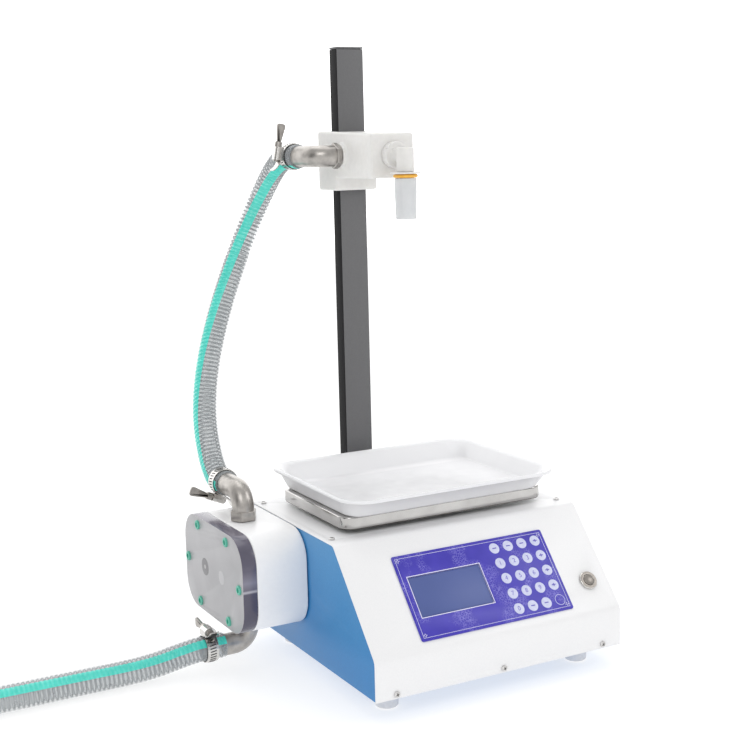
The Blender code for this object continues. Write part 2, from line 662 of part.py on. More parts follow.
def pump():
    centre = (FRONT + PUMP_Y, FLOOR + PUMP_Z)
    drive = (FRONT + DRIVE_Y, FLOOR + PUMP_Z)
    idler = (FRONT + PUMP_Y - GEAR_SPACING / 2, FLOOR + PUMP_Z)
    outline = rectangle(*PUMP_SIZE, PUMP_CORNER, centre, 8)
    pocket = GEAR_WIDTH + 2 * GAP
    floor = PUMP_LEFT + pocket
    top, bottom = centre[1] + PUMP_SIZE[1] / 2, centre[1] - PUMP_SIZE[1] / 2
    port = (LEFT + PORT_X, centre[0])
    seat = JOURNAL_LENGTH + GAP
    cuts = [
        rod("X", drive, TIP_RADIUS + 0.5 * MM, PUMP_LEFT - MM, floor, 40),
        rod("X", idler, TIP_RADIUS + 0.5 * MM, PUMP_LEFT - MM, floor, 40),
        rod("X", drive, SHAFT_RADIUS + GAP, floor - MM, LEFT + 6 * MM),
        rod("X", drive, SEAL_RADIUS, LEFT + SPIGOT_END - SEAL_WIDTH, LEFT + 6 * MM),
        rod("X", idler, JOURNAL_RADIUS + GAP, floor - MM, floor + seat),
        rod("Z", port, CHANNEL_RADIUS, bottom - MM, top + MM),
        rod("Z", port, PORT_RADIUS, top - THREAD_LENGTH - GAP, top + MM),
        rod("Z", port, PORT_RADIUS, bottom - MM, bottom + THREAD_LENGTH + GAP),
    ]
    spots = [(y, z) for y in (-37 * MM, 37 * MM) for z in (-40.5 * MM, 40.5 * MM)]
    spots += [(-66.5 * MM, 0), (66.5 * MM, 0)]
    spots = [(centre[0] + y, centre[1] + z) for y, z in spots]
    hole = COVER_SCREW_SHANK + GAP
    grip = COVER_SCREW_GRIP + GAP
    cuts += [rod("X", spot, hole, PUMP_LEFT - MM, PUMP_LEFT + grip, 12) for spot in spots]
    spigot = rod("X", drive, SPIGOT_RADIUS, PUMP_RIGHT - MM, LEFT + SPIGOT_END, 32)
    body = extruded(outline, "X", PUMP_LEFT, PUMP_RIGHT)
    node("pump_body", body, WHITE_PLASTIC, BASE, add=[spigot], cut=cuts)

    cuts = [rod("X", spot, hole, COVER_LEFT - MM, COVER_RIGHT + MM, 12) for spot in spots]
    cuts += [
        rod("X", spot, JOURNAL_RADIUS + GAP, COVER_RIGHT - seat, COVER_RIGHT + MM)
        for spot in (drive, idler)
    ]
    node("pump_cover", extruded(outline, "X", COVER_LEFT, COVER_RIGHT), CLEAR_COVER, BASE, cut=cuts)
    for i, spot in enumerate(spots, 1):
        screw(f"pump_screw_{i}", "X", spot, COVER_LEFT, -1, finish=TEAL, head=COVER_SCREW_RADIUS,
              height=PUMP_SCREW_HEAD, shank=COVER_SCREW_SHANK, length=PUMP_COVER + COVER_SCREW_GRIP)

    ring = [(SHAFT_RADIUS + GAP, LEFT + SPIGOT_END - SEAL_WIDTH + GAP),
            (SEAL_RADIUS - GAP, LEFT + SPIGOT_END - SEAL_WIDTH + GAP),
            (SEAL_RADIUS - GAP, LEFT + SPIGOT_END), (SHAFT_RADIUS + GAP, LEFT + SPIGOT_END)]
    node("shaft_seal", turned(ring, "X", drive, 24), DARK_RUBBER, BASE)

    gear_left, gear_right = PUMP_LEFT + GAP, PUMP_LEFT + GAP + GEAR_WIDTH
    teeth = gear_outline()
    half_pitch = math.pi / GEAR_TEETH
    spin = empty("drive_spin", (gear_left, *drive), BASE)
    shape = extruded([(drive[0] + y, drive[1] + z) for y, z in teeth], "X", gear_left, gear_right)
    front = rod("X", drive, JOURNAL_RADIUS, gear_left - JOURNAL_LENGTH, gear_left + MM)
    shaft = rod("X", drive, SHAFT_RADIUS, gear_right - MM, LEFT + COUPLING_MID - GAP)
    node("drive_gear", shape, GEAR_PLASTIC, spin, add=[front, shaft])

    follow = empty("idler_spin", (gear_left, *idler), BASE)
    # the idler is turned by half a tooth against the driver, so that tooth meets gap
    turned_teeth = [
        (y * math.cos(half_pitch) - z * math.sin(half_pitch), y * math.sin(half_pitch) + z * math.cos(half_pitch))
        for y, z in teeth
    ]
    shape = extruded([(idler[0] + y, idler[1] + z) for y, z in turned_teeth], "X", gear_left, gear_right)
    ends = [
        rod("X", idler, JOURNAL_RADIUS, gear_left - JOURNAL_LENGTH, gear_left + MM),
        rod("X", idler, JOURNAL_RADIUS, gear_right - MM, gear_right + JOURNAL_LENGTH),
    ]
    node("idler_gear", shape, GEAR_PLASTIC, follow, add=ends)
    return spin, drive


# ---- motor, inside the base ------------------------------------------------------------------
COUPLING_MID = 18 * MM
COUPLING_RADIUS = 11 * MM
COUPLING_HALF = 9 * MM
MOTOR_SHAFT = 5 * MM
GEARBOX_AT = 38 * MM
GEARBOX_SIZE = (30 * MM, 50 * MM)  # radius and length
MOTOR_SIZE = (27 * MM, 70 * MM)


def motor(spin, axis):
    coupling = rod("X", axis, COUPLING_RADIUS, LEFT + COUPLING_MID - COUPLING_HALF,
                   LEFT + COUPLING_MID + COUPLING_HALF)
    socket = rod("X", axis, SHAFT_RADIUS + GAP, LEFT, LEFT + COUPLING_MID)
    shaft = rod("X", axis, MOTOR_SHAFT, LEFT + COUPLING_MID + COUPLING_HALF - MM, LEFT + GEARBOX_AT + 6 * MM)
    node("shaft_coupling", coupling, ALUMINIUM, spin, add=[shaft], cut=[socket])

    radius, length = GEARBOX_SIZE
    gearbox = rod("X", axis, radius, LEFT + GEARBOX_AT, LEFT + GEARBOX_AT + length, 32)
    can = rod("X", axis, MOTOR_SIZE[0], LEFT + GEARBOX_AT + length - MM,
              LEFT + GEARBOX_AT + length + MOTOR_SIZE[1], 32)
    hole = rod("X", axis, MOTOR_SHAFT + GAP, LEFT, LEFT + GEARBOX_AT + 7 * MM)
    node("gear_motor", gearbox, DARK_PAINT, BASE, add=[can], cut=[hole])

    plate = 3 * MM
    face = LEFT + GEARBOX_AT - GAP
    ground = FLOOR + SHEET + GAP
    upright = box((face - plate, face), (axis[0] - radius, axis[0] + radius), (ground, axis[1] + radius))
    sole = box((face - plate, face + 34 * MM), (axis[0] - radius, axis[0] + radius), (ground, ground + plate))
    opening = rod("X", axis, COUPLING_RADIUS + MM, LEFT, face + MM)
    node("motor_bracket", upright, ALUMINIUM, BASE, add=[sole], cut=[opening])


# ---- elbows and hose clamps ------------------------------------------------------------------
def frame_of(x_axis, z_axis, origin):
    """A right-handed frame from its x and z directions."""
    x = Vector(x_axis).normalized()
    z = Vector(z_axis).normalized()
    y = z.cross(x)
    turn = Matrix([(x[i], y[i], z[i]) for i in range(3)]).to_4x4()
    return Matrix.Translation(origin) @ turn


def elbow(name, port, out, toward, nut, run, body):
    """A threaded elbow: its nut on the port, its tube out and then round towards the hose."""
    start = nut + 2 * MM
    bend = arc((ELBOW_BEND, start), ELBOW_BEND, math.pi, math.pi / 2, 8)
    path = [(0, 0, nut / 2)] + [(x, 0, z) for x, z in bend]
    path.append((ELBOW_BEND + run, 0, start + ELBOW_BEND))
    bore = [(0, 0, -THREAD_LENGTH - MM)] + path[1:-1] + [(ELBOW_BEND + run + MM, 0, start + ELBOW_BEND)]
    hexagon = extruded(circle((0, 0), NUT_FLATS / math.sqrt(3), 6), "Z", GAP, nut)
    thread = rod("Z", (0, 0), THREAD_RADIUS, -THREAD_LENGTH, nut / 2)
    node(name, hexagon, STEEL, body, add=[swept(path, PIPE_RADIUS), thread],
         cut=[swept(bore, PIPE_BORE, 20)], place=frame_of(toward, out, port))


def hose_clamp(name, centre, screw_way, housing_way, body):
    """A worm clamp round a hose, its wing screw on a hinge of its own."""
    inner = HOSE_RADIUS + GAP
    outer = inner + CLAMP_BAND
    length, width, height = HOUSING_SIZE
    half = CLAMP_WIDTH / 2
    band = turned([(inner, -half), (outer, -half), (outer, half), (inner, half)], "Y", (0, 0), 32)
    housing = box((-length / 2, length / 2), (-width / 2, width / 2), (inner + CLAMP_BAND / 2, outer + height))
    curl = 18 * MM
    low = arc((-length / 2 + 2 * MM, outer + curl), curl, -math.pi / 2, -math.pi * 0.8, 6)
    high = arc((-length / 2 + 2 * MM, outer + curl), curl - CLAMP_BAND, -math.pi * 0.8, -math.pi / 2, 6)
    tail = extruded(low + high, "Y", -half + MM, half - MM)
    worm_z = outer + height / 2
    place = frame_of(screw_way, housing_way, centre)
    worm_hole = rod("X", (0, worm_z), WORM_RADIUS + GAP, -length, length, 16)
    node(name, band, STEEL, body, add=[housing, tail], cut=[worm_hole], place=place)

    wing_root = length / 2 + 4 * MM
    wing = [
        (wing_root, -2.4 * MM), (wing_root + 8 * MM, -4.2 * MM), (wing_root + 19 * MM, -5.4 * MM),
        (wing_root + 21 * MM, -4 * MM), (wing_root + 21 * MM, 4 * MM), (wing_root + 19 * MM, 5.4 * MM),
        (wing_root + 8 * MM, 4.2 * MM), (wing_root, 2.4 * MM),
    ]
    wing = extruded([(x, worm_z + z) for x, z in wing], "Y", -1.2 * MM, 1.2 * MM)
    worm = rod("X", (0, worm_z), WORM_RADIUS, -length / 2 - 2 * MM, wing_root + 2 * MM, 16)
    pivot = place @ Vector((0, 0, worm_z))
    turning = empty(name + "_turn", pivot, body)
    node(name + "_screw", worm, STEEL, turning, add=[wing], place=place)


# ---- column and carriage ---------------------------------------------------------------------
def column():
    wide, deep = COLUMN_SIZE
    tube = box((MID - wide / 2, MID + wide / 2), (COLUMN_FRONT, COLUMN_FRONT + deep), (FLOOR + 4 * MM, FLOOR + COLUMN_TOP))
    inside = (wide / 2 - COLUMN_WALL, deep / 2 - COLUMN_WALL)
    bore = box((MID - inside[0], MID + inside[0]), (COLUMN_MID - inside[1], COLUMN_MID + inside[1]),
               (FLOOR, FLOOR + COLUMN_TOP + MM))
    node("column", tube, DARK_PAINT, BASE, cut=[bore])
    top = FLOOR + COLUMN_TOP + GAP
    lid = box((MID - wide / 2, MID + wide / 2), (COLUMN_FRONT, COLUMN_FRONT + deep), (top, top + CAP_THICK))
    plug = box((MID - inside[0] + GAP, MID + inside[0] - GAP),
               (COLUMN_MID - inside[1] + GAP, COLUMN_MID + inside[1] - GAP), (top - 10 * MM, top + MM))
    node("column_cap", lid, DARK_PAINT, BASE, add=[plug])
    low, high = FLOOR + BRACKET_FROM, FLOOR + BRACKET_TO
    outer = wide / 2 + GAP + 3 * MM
    saddle = box((MID - outer, MID + outer), (REAR + GAP, COLUMN_FRONT + 12 * MM), (low, high))
    ears = box((MID - outer - 14 * MM, MID + outer + 14 * MM), (REAR + GAP, REAR + 3 * MM), (low, high))
    slot = box((MID - wide / 2 - GAP, MID + wide / 2 + GAP), (COLUMN_FRONT - GAP, COLUMN_FRONT + 20 * MM),
               (low - MM, high + MM))
    node("column_bracket", saddle, STEEL, BASE, add=[ears], cut=[slot])


def carriage():
    slide = empty("carriage", (MID, COLUMN_MID, FLOOR + BLOCK_TOP), BASE)
    top = FLOOR + BLOCK_TOP
    left, right = MID - BLOCK_WIDTH / 2, MID + BLOCK_WIDTH / 2
    outline = [
        (BLOCK_FRONT, top - BLOCK_FRONT_HEIGHT), (BLOCK_STEP, top - BLOCK_FRONT_HEIGHT),
        (BLOCK_STEP, top - BLOCK_BACK_HEIGHT), (BLOCK_BACK, top - BLOCK_BACK_HEIGHT),
        (BLOCK_BACK, top), (BLOCK_FRONT, top - BLOCK_DROP),
    ]
    outline = rounded(outline, [BLOCK_CORNER, 0] + [BLOCK_CORNER] * 4, 3)
    channel = FLOOR + CHANNEL_Z
    wide, deep = COLUMN_SIZE
    knob_z = top - KNOB_BELOW_TOP
    stud_hole = rod("X", (COLUMN_MID, knob_z), STUD_RADIUS + GAP, MID, right + MM, 16)
    boss = rod("X", (PORT_Y, channel), BOSS_RADIUS, left - BOSS_LENGTH, left + MM, 32)
    cuts = [
        box((MID - wide / 2 - GAP, MID + wide / 2 + GAP), (COLUMN_FRONT - GAP, COLUMN_FRONT + deep + GAP),
            (top - BLOCK_BACK_HEIGHT - MM, top + MM)),
        rod("X", (PORT_Y, channel), CHANNEL_RADIUS, left - BOSS_LENGTH - MM, MID),
        rod("X", (PORT_Y, channel), PORT_RADIUS, left - BOSS_LENGTH - MM, left - BOSS_LENGTH + THREAD_LENGTH + GAP),
        rod("Y", (MID, channel), CHANNEL_RADIUS, BLOCK_FRONT - MM, PORT_Y),
        stud_hole,
    ]
    node("carriage_block", extruded(outline, "X", left, right), WHITE_PLASTIC, slide, add=[boss], cut=cuts)

    elbow("carriage_elbow", (left - BOSS_LENGTH, PORT_Y, channel), (-1, 0, 0), (0, 1, 0), THIN_NUT, CARRIAGE_RUN, slide)

    stub = rod("Y", (MID, channel), STUB_RADIUS, BLOCK_FRONT - GAP - STUB_LENGTH, BLOCK_FRONT - GAP, 32)
    neck = rod("Y", (MID, channel), NOZZLE_TOP - CHANNEL_Z, NOZZLE_Y, BLOCK_FRONT - GAP - MM, 32)
    foot = FLOOR + FLANGE_Z + FLANGE_THICK / 2 + GAP
    drop = rod("Z", (MID, NOZZLE_Y), NOZZLE_RADIUS, foot, FLOOR + NOZZLE_TOP, 32)
    cuts = [
        rod("Y", (MID, channel), STUB_BORE, NOZZLE_Y, BLOCK_FRONT + MM),
        rod("Z", (MID, NOZZLE_Y), NOZZLE_BORE, foot - MM, channel, 24),
    ]
    node("nozzle_elbow", stub, WHITE_PLASTIC, slide, add=[neck, drop], cut=cuts)
    low, high = foot - GAP - FLANGE_THICK, foot - GAP
    disc = [(CHANNEL_RADIUS, low), (FLANGE_RADIUS, low), (FLANGE_RADIUS, high), (CHANNEL_RADIUS, high)]
    node("nozzle_flange", turned(disc, "Z", (MID, NOZZLE_Y), 32), WHITE_PLASTIC, slide)
    middle = low - GAP - SEAL_RING
    ring = circle((TIP_TOP_RADIUS - 0.6 * MM, middle), SEAL_RING, 10)
    node("nozzle_seal", turned(ring, "Z", (MID, NOZZLE_Y), 24), SEAL_ORANGE, slide)
    tip_top = middle - SEAL_RING - GAP
    tip = [(TIP_BORE, tip_top - TIP_LENGTH), (TIP_END_RADIUS, tip_top - TIP_LENGTH),
           (TIP_TOP_RADIUS, tip_top), (TIP_BORE, tip_top)]
    node("nozzle_tip", turned(tip, "Z", (MID, NOZZLE_Y), 28), TIP_PLASTIC, slide)

    turn = empty("lock_knob_turn", (right, COLUMN_MID, knob_z), slide)
    lobes = []
    for i in range(40):
        angle = math.tau * i / 40
        radius = KNOB_RADIUS * (1 + 0.09 * math.cos(5 * angle))
        lobes.append((COLUMN_MID + radius * math.cos(angle), knob_z + radius * math.sin(angle)))
    grip = extruded(lobes, "X", right + GAP, right + GAP + KNOB_LENGTH)
    stud = rod("X", (COLUMN_MID, knob_z), STUD_RADIUS, MID + wide / 2 + 2 * GAP, right + 2 * MM, 16)
    node("lock_knob", grip, DARK_RUBBER, turn, add=[stud])
    return slide


# ---- weighing platform and tray --------------------------------------------------------------
def platform():
    cell_top = FLOOR + CELL_TOP
    length, width, height = CELL_SIZE
    cell = box((MID - length / 2, MID + length / 2), (TRAY_Y - width / 2, TRAY_Y + width / 2),
               (cell_top - height, cell_top))
    relief = rod("Y", (MID, cell_top - height / 2), 6 * MM, TRAY_Y - width, TRAY_Y + width, 20)
    node("load_cell", cell, ALUMINIUM, BASE, cut=[relief])
    pillar = box((MID - length / 2, MID - length / 2 + 22 * MM), (TRAY_Y - width / 2, TRAY_Y + width / 2),
                 (FLOOR + SHEET + GAP, cell_top - height - GAP))
    node("load_cell_mount", pillar, ALUMINIUM, BASE)

    low = TOP + PLATFORM_LIFT
    high = low + PLATFORM_SKIRT
    press = empty("platform", (MID, TRAY_Y, high), BASE)
    centre = (MID, TRAY_Y)
    wide, deep = PLATFORM_SIZE
    wall = 2 * PLATFORM_THICK
    plate = extruded(rectangle(wide, deep, PLATFORM_CORNER, centre, 5), "Z", low, high)
    under = extruded(rectangle(wide - wall, deep - wall, PLATFORM_CORNER - PLATFORM_THICK, centre, 5), "Z",
                     low - MM, high - PLATFORM_THICK)
    post = rod("Z", (MID + POST_FROM_MID, TRAY_Y), POST_RADIUS, cell_top + GAP + CELL_TRAVEL, high - MM)
    node("weigh_platform", plate, STEEL, press, cut=[under], last=[post])
    return press, high


def tray(parent, level):
    lift = empty("tray_lift", (MID, TRAY_Y, level), parent)
    base = level + GAP
    wall = TRAY_WALL
    centre = (MID, TRAY_Y)
    foot = (TRAY_FLOOR_SIZE[0], TRAY_FLOOR_SIZE[1])
    rim = (TRAY_RIM[0], TRAY_RIM[1])

    def outline(size, corner, inset=0.0):
        return rectangle(size[0] - 2 * inset, size[1] - 2 * inset, corner - inset, centre, 6)

    neck = (rim[0] - 10 * MM, rim[1] - 12 * MM)
    layers = [
        (outline(foot, TRAY_CORNER - 6 * MM, 2 * MM), base),
        (outline(foot, TRAY_CORNER - 6 * MM), base + 2 * MM),
        (outline(neck, TRAY_CORNER), base + TRAY_HEIGHT - 5 * MM),
        (outline(rim, TRAY_CORNER + 3 * MM), base + TRAY_HEIGHT - 3 * MM),
        (outline(rim, TRAY_CORNER + 3 * MM), base + TRAY_HEIGHT - 1 * MM),
        (outline(rim, TRAY_CORNER + 3 * MM, 1 * MM), base + TRAY_HEIGHT),
        (outline(neck, TRAY_CORNER, wall), base + TRAY_HEIGHT - 2 * MM),
        (outline(foot, TRAY_CORNER - 6 * MM, wall), base + wall + 1.5 * MM),
        (outline(foot, TRAY_CORNER - 6 * MM, wall + 2 * MM), base + wall),
    ]
    node("tray", lofted(layers), TRAY_PLASTIC, lift)


# ---- hoses -----------------------------------------------------------------------------------
def smooth(points, spacing):
    """A curve through the points, read at an even spacing between its two straight end legs."""
    points = [Vector(p) for p in points]
    fine = []
    for i in range(1, len(points) - 2):
        before, a, b, after = points[i - 1 : i + 3]
        for k in range(10):
            t = k / 10
            pull = (b - before) * t + (2 * before - 5 * a + 4 * b - after) * t**2
            fine.append(a + (pull + (3 * a - before - 3 * b + after) * t**3) / 2)
    fine.append(points[-2])
    lengths = [0.0]
    for a, b in zip(fine, fine[1:]):
        lengths.append(lengths[-1] + (b - a).length)
    steps = max(round(lengths[-1] / spacing), 2)
    even = [points[0]]
    for i in range(steps + 1):
        target = lengths[-1] * i / steps
        k = min(max(sum(1 for length in lengths if length < target), 1), len(fine) - 1)
        share = (target - lengths[k - 1]) / (lengths[k] - lengths[k - 1])
        even.append(fine[k - 1].lerp(fine[k], share))
    return [*even, points[-1]]


def hose(name, route, body):
    data = bpy.data.curves.new(name, "CURVE")
    data.dimensions = "3D"
    data.bevel_depth = HOSE_RADIUS
    data.bevel_resolution = 3
    data.use_fill_caps = True
    points = smooth(route, HOSE_STEP)
    spline = data.splines.new("POLY")
    spline.points.add(len(points) - 1)
    for point, place in zip(spline.points, points):
        point.co = (*(place - body.matrix_world.translation), 1.0)
    made = bpy.data.objects.new(name, data)
    bpy.context.collection.objects.link(made)
    data.materials.append(HOSE)
    made.parent = body


def on_floor(points):
    return [(LEFT + x * MM, FRONT + y * MM, z * MM) for x, y, z in points]


def suction_route():
    """The lead along the floor and one open turn, out to the side and behind."""
    x, y, z = TURN_CENTRE
    steps = 29
    turn = []
    for i in range(1, steps + 1):
        angle = -math.pi / 2 - TURN_ANGLE * i / steps
        turn.append((x + TURN_RADIUS * math.cos(angle), y + TURN_RADIUS * math.sin(angle), z))
    return SUCTION_LEAD + turn


def build():
    base_shell()
    base_fasteners()
    feet()
    panel_parts()
    start_button()
    electronics()
    spin, axis = pump()
    motor(spin, axis)
    middle = FRONT + PUMP_Y
    top = FLOOR + PUMP_Z + PUMP_SIZE[1] / 2
    bottom = FLOOR + PUMP_Z - PUMP_SIZE[1] / 2
    rise = NUT_HEIGHT + 2 * MM + ELBOW_BEND
    elbow("outlet_elbow", (LEFT + PORT_X, middle, top), (0, 0, 1), (0, 1, 0), NUT_HEIGHT, OUTLET_RUN, BASE)
    elbow("inlet_elbow", (LEFT + PORT_X, middle, bottom), (0, 0, -1), (-1, 0, 0), NUT_HEIGHT, INLET_RUN, BASE)
    mouth = middle + ELBOW_BEND + OUTLET_RUN
    hose_clamp("outlet_clamp", (LEFT + PORT_X, mouth + OUTLET_GRIP, top + rise), (-0.92, 0, 0.39), (-0.39, 0, -0.92), BASE)
    mouth = LEFT + PORT_X - ELBOW_BEND - INLET_RUN
    hose_clamp("inlet_clamp", (mouth - INLET_GRIP, middle, bottom - rise), (0, 1, 0), (0, 0, 1), BASE)
    column()
    slide = carriage()
    port = MID - BLOCK_WIDTH / 2 - BOSS_LENGTH - THIN_NUT - 2 * MM - ELBOW_BEND
    mouth = PORT_Y + ELBOW_BEND + CARRIAGE_RUN
    hose_clamp("carriage_clamp", (port, mouth + CARRIAGE_GRIP, FLOOR + CHANNEL_Z), (0.2, 0, 0.98), (-0.98, 0, 0.2), slide)
    tray(*platform())
    hose("delivery_hose", on_floor(DELIVERY_ROUTE), BASE)
    hose("suction_hose", on_floor(suction_route()), BASE)


build()
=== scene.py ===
"""The looks of a bench-top weighing filler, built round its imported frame."""

import json
import math

import bmesh
import bpy
from mathutils import Matrix, Vector

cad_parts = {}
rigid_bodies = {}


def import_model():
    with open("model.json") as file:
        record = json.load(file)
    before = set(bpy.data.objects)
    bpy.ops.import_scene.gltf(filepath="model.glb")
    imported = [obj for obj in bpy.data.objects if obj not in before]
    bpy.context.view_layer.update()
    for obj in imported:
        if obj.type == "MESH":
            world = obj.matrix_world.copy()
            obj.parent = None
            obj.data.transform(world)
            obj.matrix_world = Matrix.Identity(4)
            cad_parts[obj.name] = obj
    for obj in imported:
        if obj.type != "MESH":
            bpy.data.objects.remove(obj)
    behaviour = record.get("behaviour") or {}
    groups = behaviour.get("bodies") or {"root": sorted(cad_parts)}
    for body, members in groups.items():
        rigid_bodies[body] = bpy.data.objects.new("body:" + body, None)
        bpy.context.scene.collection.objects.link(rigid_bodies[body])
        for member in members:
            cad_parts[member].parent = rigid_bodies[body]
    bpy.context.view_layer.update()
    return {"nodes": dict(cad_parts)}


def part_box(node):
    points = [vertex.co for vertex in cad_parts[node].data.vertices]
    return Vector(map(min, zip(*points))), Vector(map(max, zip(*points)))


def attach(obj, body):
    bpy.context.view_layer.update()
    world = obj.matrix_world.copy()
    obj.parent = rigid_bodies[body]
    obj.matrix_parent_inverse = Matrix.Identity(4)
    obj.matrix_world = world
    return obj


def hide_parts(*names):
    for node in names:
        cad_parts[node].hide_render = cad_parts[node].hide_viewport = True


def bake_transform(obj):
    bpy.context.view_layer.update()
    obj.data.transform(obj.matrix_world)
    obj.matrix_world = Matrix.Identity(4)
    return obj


for leftover in list(bpy.data.objects):
    bpy.data.objects.remove(leftover)
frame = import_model()

# ---- room: a pale floor and backdrop, two black cards, soft lamps and the camera ---------------
# The floor and backdrop are wide matt sheets that glow a little. Three large lamps leave only faint
# shadows, as on a shooting table, and the black cards give the steel something dark to reflect.
def room_paint(name, colour, roughness=0.5, shine=0.5, glow=0.0):
    """A plain material for a sheet of the room."""
    made = bpy.data.materials.new(name)
    made.use_nodes = True
    shader = made.node_tree.nodes["Principled BSDF"]
    shader.inputs["Base Color"].default_value = (colour, colour, colour, 1)
    shader.inputs["Roughness"].default_value = roughness
    shader.inputs["Specular IOR Level"].default_value = shine
    if glow:
        shader.inputs["Emission Color"].default_value = (1, 1, 1, 1)
        shader.inputs["Emission Strength"].default_value = glow
    return made


def room_sheet(name, half_side, stand, material):
    """A flat sheet of the room, stood in its place; it is no piece of the object."""
    bm = bmesh.new()
    bmesh.ops.create_grid(bm, x_segments=1, y_segments=1, size=half_side)
    bmesh.ops.transform(bm, matrix=stand, verts=bm.verts)
    data = bpy.data.meshes.new(name)
    bm.to_mesh(data)
    bm.free()
    data.materials.append(material)
    sheet = bpy.data.objects.new(name, data)
    bpy.context.collection.objects.link(sheet)


room_sheet("floor", 6.0, Matrix.Translation((0, 0, -0.0005)), room_paint("matt_floor", 0.45, 0.95, 0.0, 0.66))
upright = Matrix.Translation((1.5, 5.0, 4.0)) @ Matrix.Rotation(math.pi / 2, 4, "X")
room_sheet("backdrop", 6.0, upright, room_paint("glow", 0.8, glow=1.05))

CARDS_FACE = Vector((0.0, 0.1, 0.4))
black_card = room_paint("black_card", 0.02, 0.9)
for name, place, wide in (("card_left", (-2.4, -0.3, 1.0), 0.9), ("card_right", (1.9, -1.5, 0.9), 0.8)):
    stand = (CARDS_FACE - Vector(place)).to_track_quat("Z", "Y").to_matrix().to_4x4()
    stand.translation = place
    tall = Matrix.Rotation(math.pi / 2, 4, "Z") @ Matrix.Diagonal((2.0, wide, 1, 1))
    room_sheet(name, 0.5, stand @ tall, black_card)

room = bpy.data.worlds.new("room")
room.use_nodes = True
room.node_tree.nodes["Background"].inputs["Color"].default_value = (1.0, 1.0, 1.0, 1)
room.node_tree.nodes["Background"].inputs["Strength"].default_value = 0.76
bpy.context.scene.world = room

LAMPS_FACE = Vector((0.0, 0.0, 0.25))
lamps = {
    "lamp_front_left": ((-1.5, -1.6, 1.7), 1.2, 9.0),
    "lamp_front_right": ((1.7, -1.2, 1.5), 1.2, 9.0),
    "lamp_above": ((0.2, 0.5, 2.3), 1.6, 7.0),
}
for name, (place, width, watts) in lamps.items():
    light = bpy.data.lights.new(name, "AREA")
    light.shape = "DISK"
    light.size = width
    light.energy = watts
    lamp = bpy.data.objects.new(name, light)
    lamp.location = place
    lamp.rotation_euler = (LAMPS_FACE - Vector(place)).to_track_quat("-Z", "Y").to_euler()
    bpy.context.collection.objects.link(lamp)

lens = bpy.data.cameras.new("camera")
lens.lens = 64.83
camera = bpy.data.objects.new("camera", lens)
camera.location = (-0.6528, -1.1762, 0.5199)
camera.rotation_euler = [math.radians(a) for a in (80.332, 1.32, -28.849)]
bpy.context.collection.objects.link(camera)
bpy.context.scene.camera = camera
bpy.context.scene.view_settings.view_transform = "Standard"

# ---- sheet-metal base: folded cover, chassis, rear panel ---------------------------------------
# The cover is 1.5 mm steel, cut, folded four times and powder coated white, which leaves a fine
# orange-peel skin. The chassis and the rear panel have the same coat in a clear mid blue.
MM = 0.001


def finish(name, light, dark, grain, rough, bump=0.0, metallic=0.0, stretch=(1, 1, 1), detail=3.0):
    """A material whose colour, gloss and skin vary with a noise of so many spots in a metre."""
    made = bpy.data.materials.new(name)
    made.use_nodes = True
    nodes, links = made.node_tree.nodes, made.node_tree.links
    shader = nodes["Principled BSDF"]
    shader.inputs["Metallic"].default_value = metallic
    place = nodes.new("ShaderNodeTexCoord")
    mapping = nodes.new("ShaderNodeMapping")
    mapping.inputs["Scale"].default_value = stretch
    noise = nodes.new("ShaderNodeTexNoise")
    noise.inputs["Scale"].default_value = grain
    noise.inputs["Detail"].default_value = detail
    colours = nodes.new("ShaderNodeValToRGB")
    colours.color_ramp.elements[0].position = 0.3
    colours.color_ramp.elements[0].color = (*dark, 1)
    colours.color_ramp.elements[1].position = 0.7
    colours.color_ramp.elements[1].color = (*light, 1)
    gloss = nodes.new("ShaderNodeMapRange")
    gloss.inputs["To Min"].default_value = rough[0]
    gloss.inputs["To Max"].default_value = rough[1]
    links.new(place.outputs["Object"], mapping.inputs["Vector"])
    links.new(mapping.outputs["Vector"], noise.inputs["Vector"])
    links.new(noise.outputs["Fac"], colours.inputs["Fac"])
    links.new(noise.outputs["Fac"], gloss.inputs["Value"])
    links.new(colours.outputs["Color"], shader.inputs["Base Color"])
    links.new(gloss.outputs["Result"], shader.inputs["Roughness"])
    if bump:
        skin = nodes.new("ShaderNodeBump")
        skin.inputs["Strength"].default_value = 1.0
        skin.inputs["Distance"].default_value = bump
        links.new(noise.outputs["Fac"], skin.inputs["Height"])
        links.new(skin.outputs["Normal"], shader.inputs["Normal"])
    return made


def piece(name, bm, materials, slot, body, *stands_for, smooth=35.0):
    """A finished mesh as a named piece, on a body of the frame where one is given."""
    data = bpy.data.meshes.new(name)
    bm.to_mesh(data)
    bm.free()
    for material in materials if isinstance(materials, (list, tuple)) else [materials]:
        data.materials.append(material)
    data.shade_smooth()
    data.set_sharp_from_angle(angle=math.radians(smooth))
    made = bpy.data.objects.new(name, data)
    bpy.context.collection.objects.link(made)
    if body:
        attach(made, body)
    if stands_for:
        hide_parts(*stands_for)
    return made


def rounded(bm, edges, width, segments):
    """Bevels edges to a round of a given width."""
    bmesh.ops.bevel(
        bm, geom=edges, offset=width, offset_type="OFFSET", affect="EDGES",
        segments=segments, profile=0.5, material=-1,
    )


def copied(node, width, segments=2, sharper_than=40.0):
    """A frame node's own shape, its doubled points merged and its sharp edges rounded."""
    bm = bmesh.new()
    bm.from_mesh(frame["nodes"][node].data)
    bmesh.ops.remove_doubles(bm, verts=bm.verts, dist=0.01 * MM)
    bmesh.ops.dissolve_limit(bm, angle_limit=math.radians(0.5), verts=bm.verts, edges=bm.edges)
    edges = [e for e in bm.edges if e.calc_face_angle(0) > math.radians(sharper_than)]
    rounded(bm, edges, width, segments)
    return bm


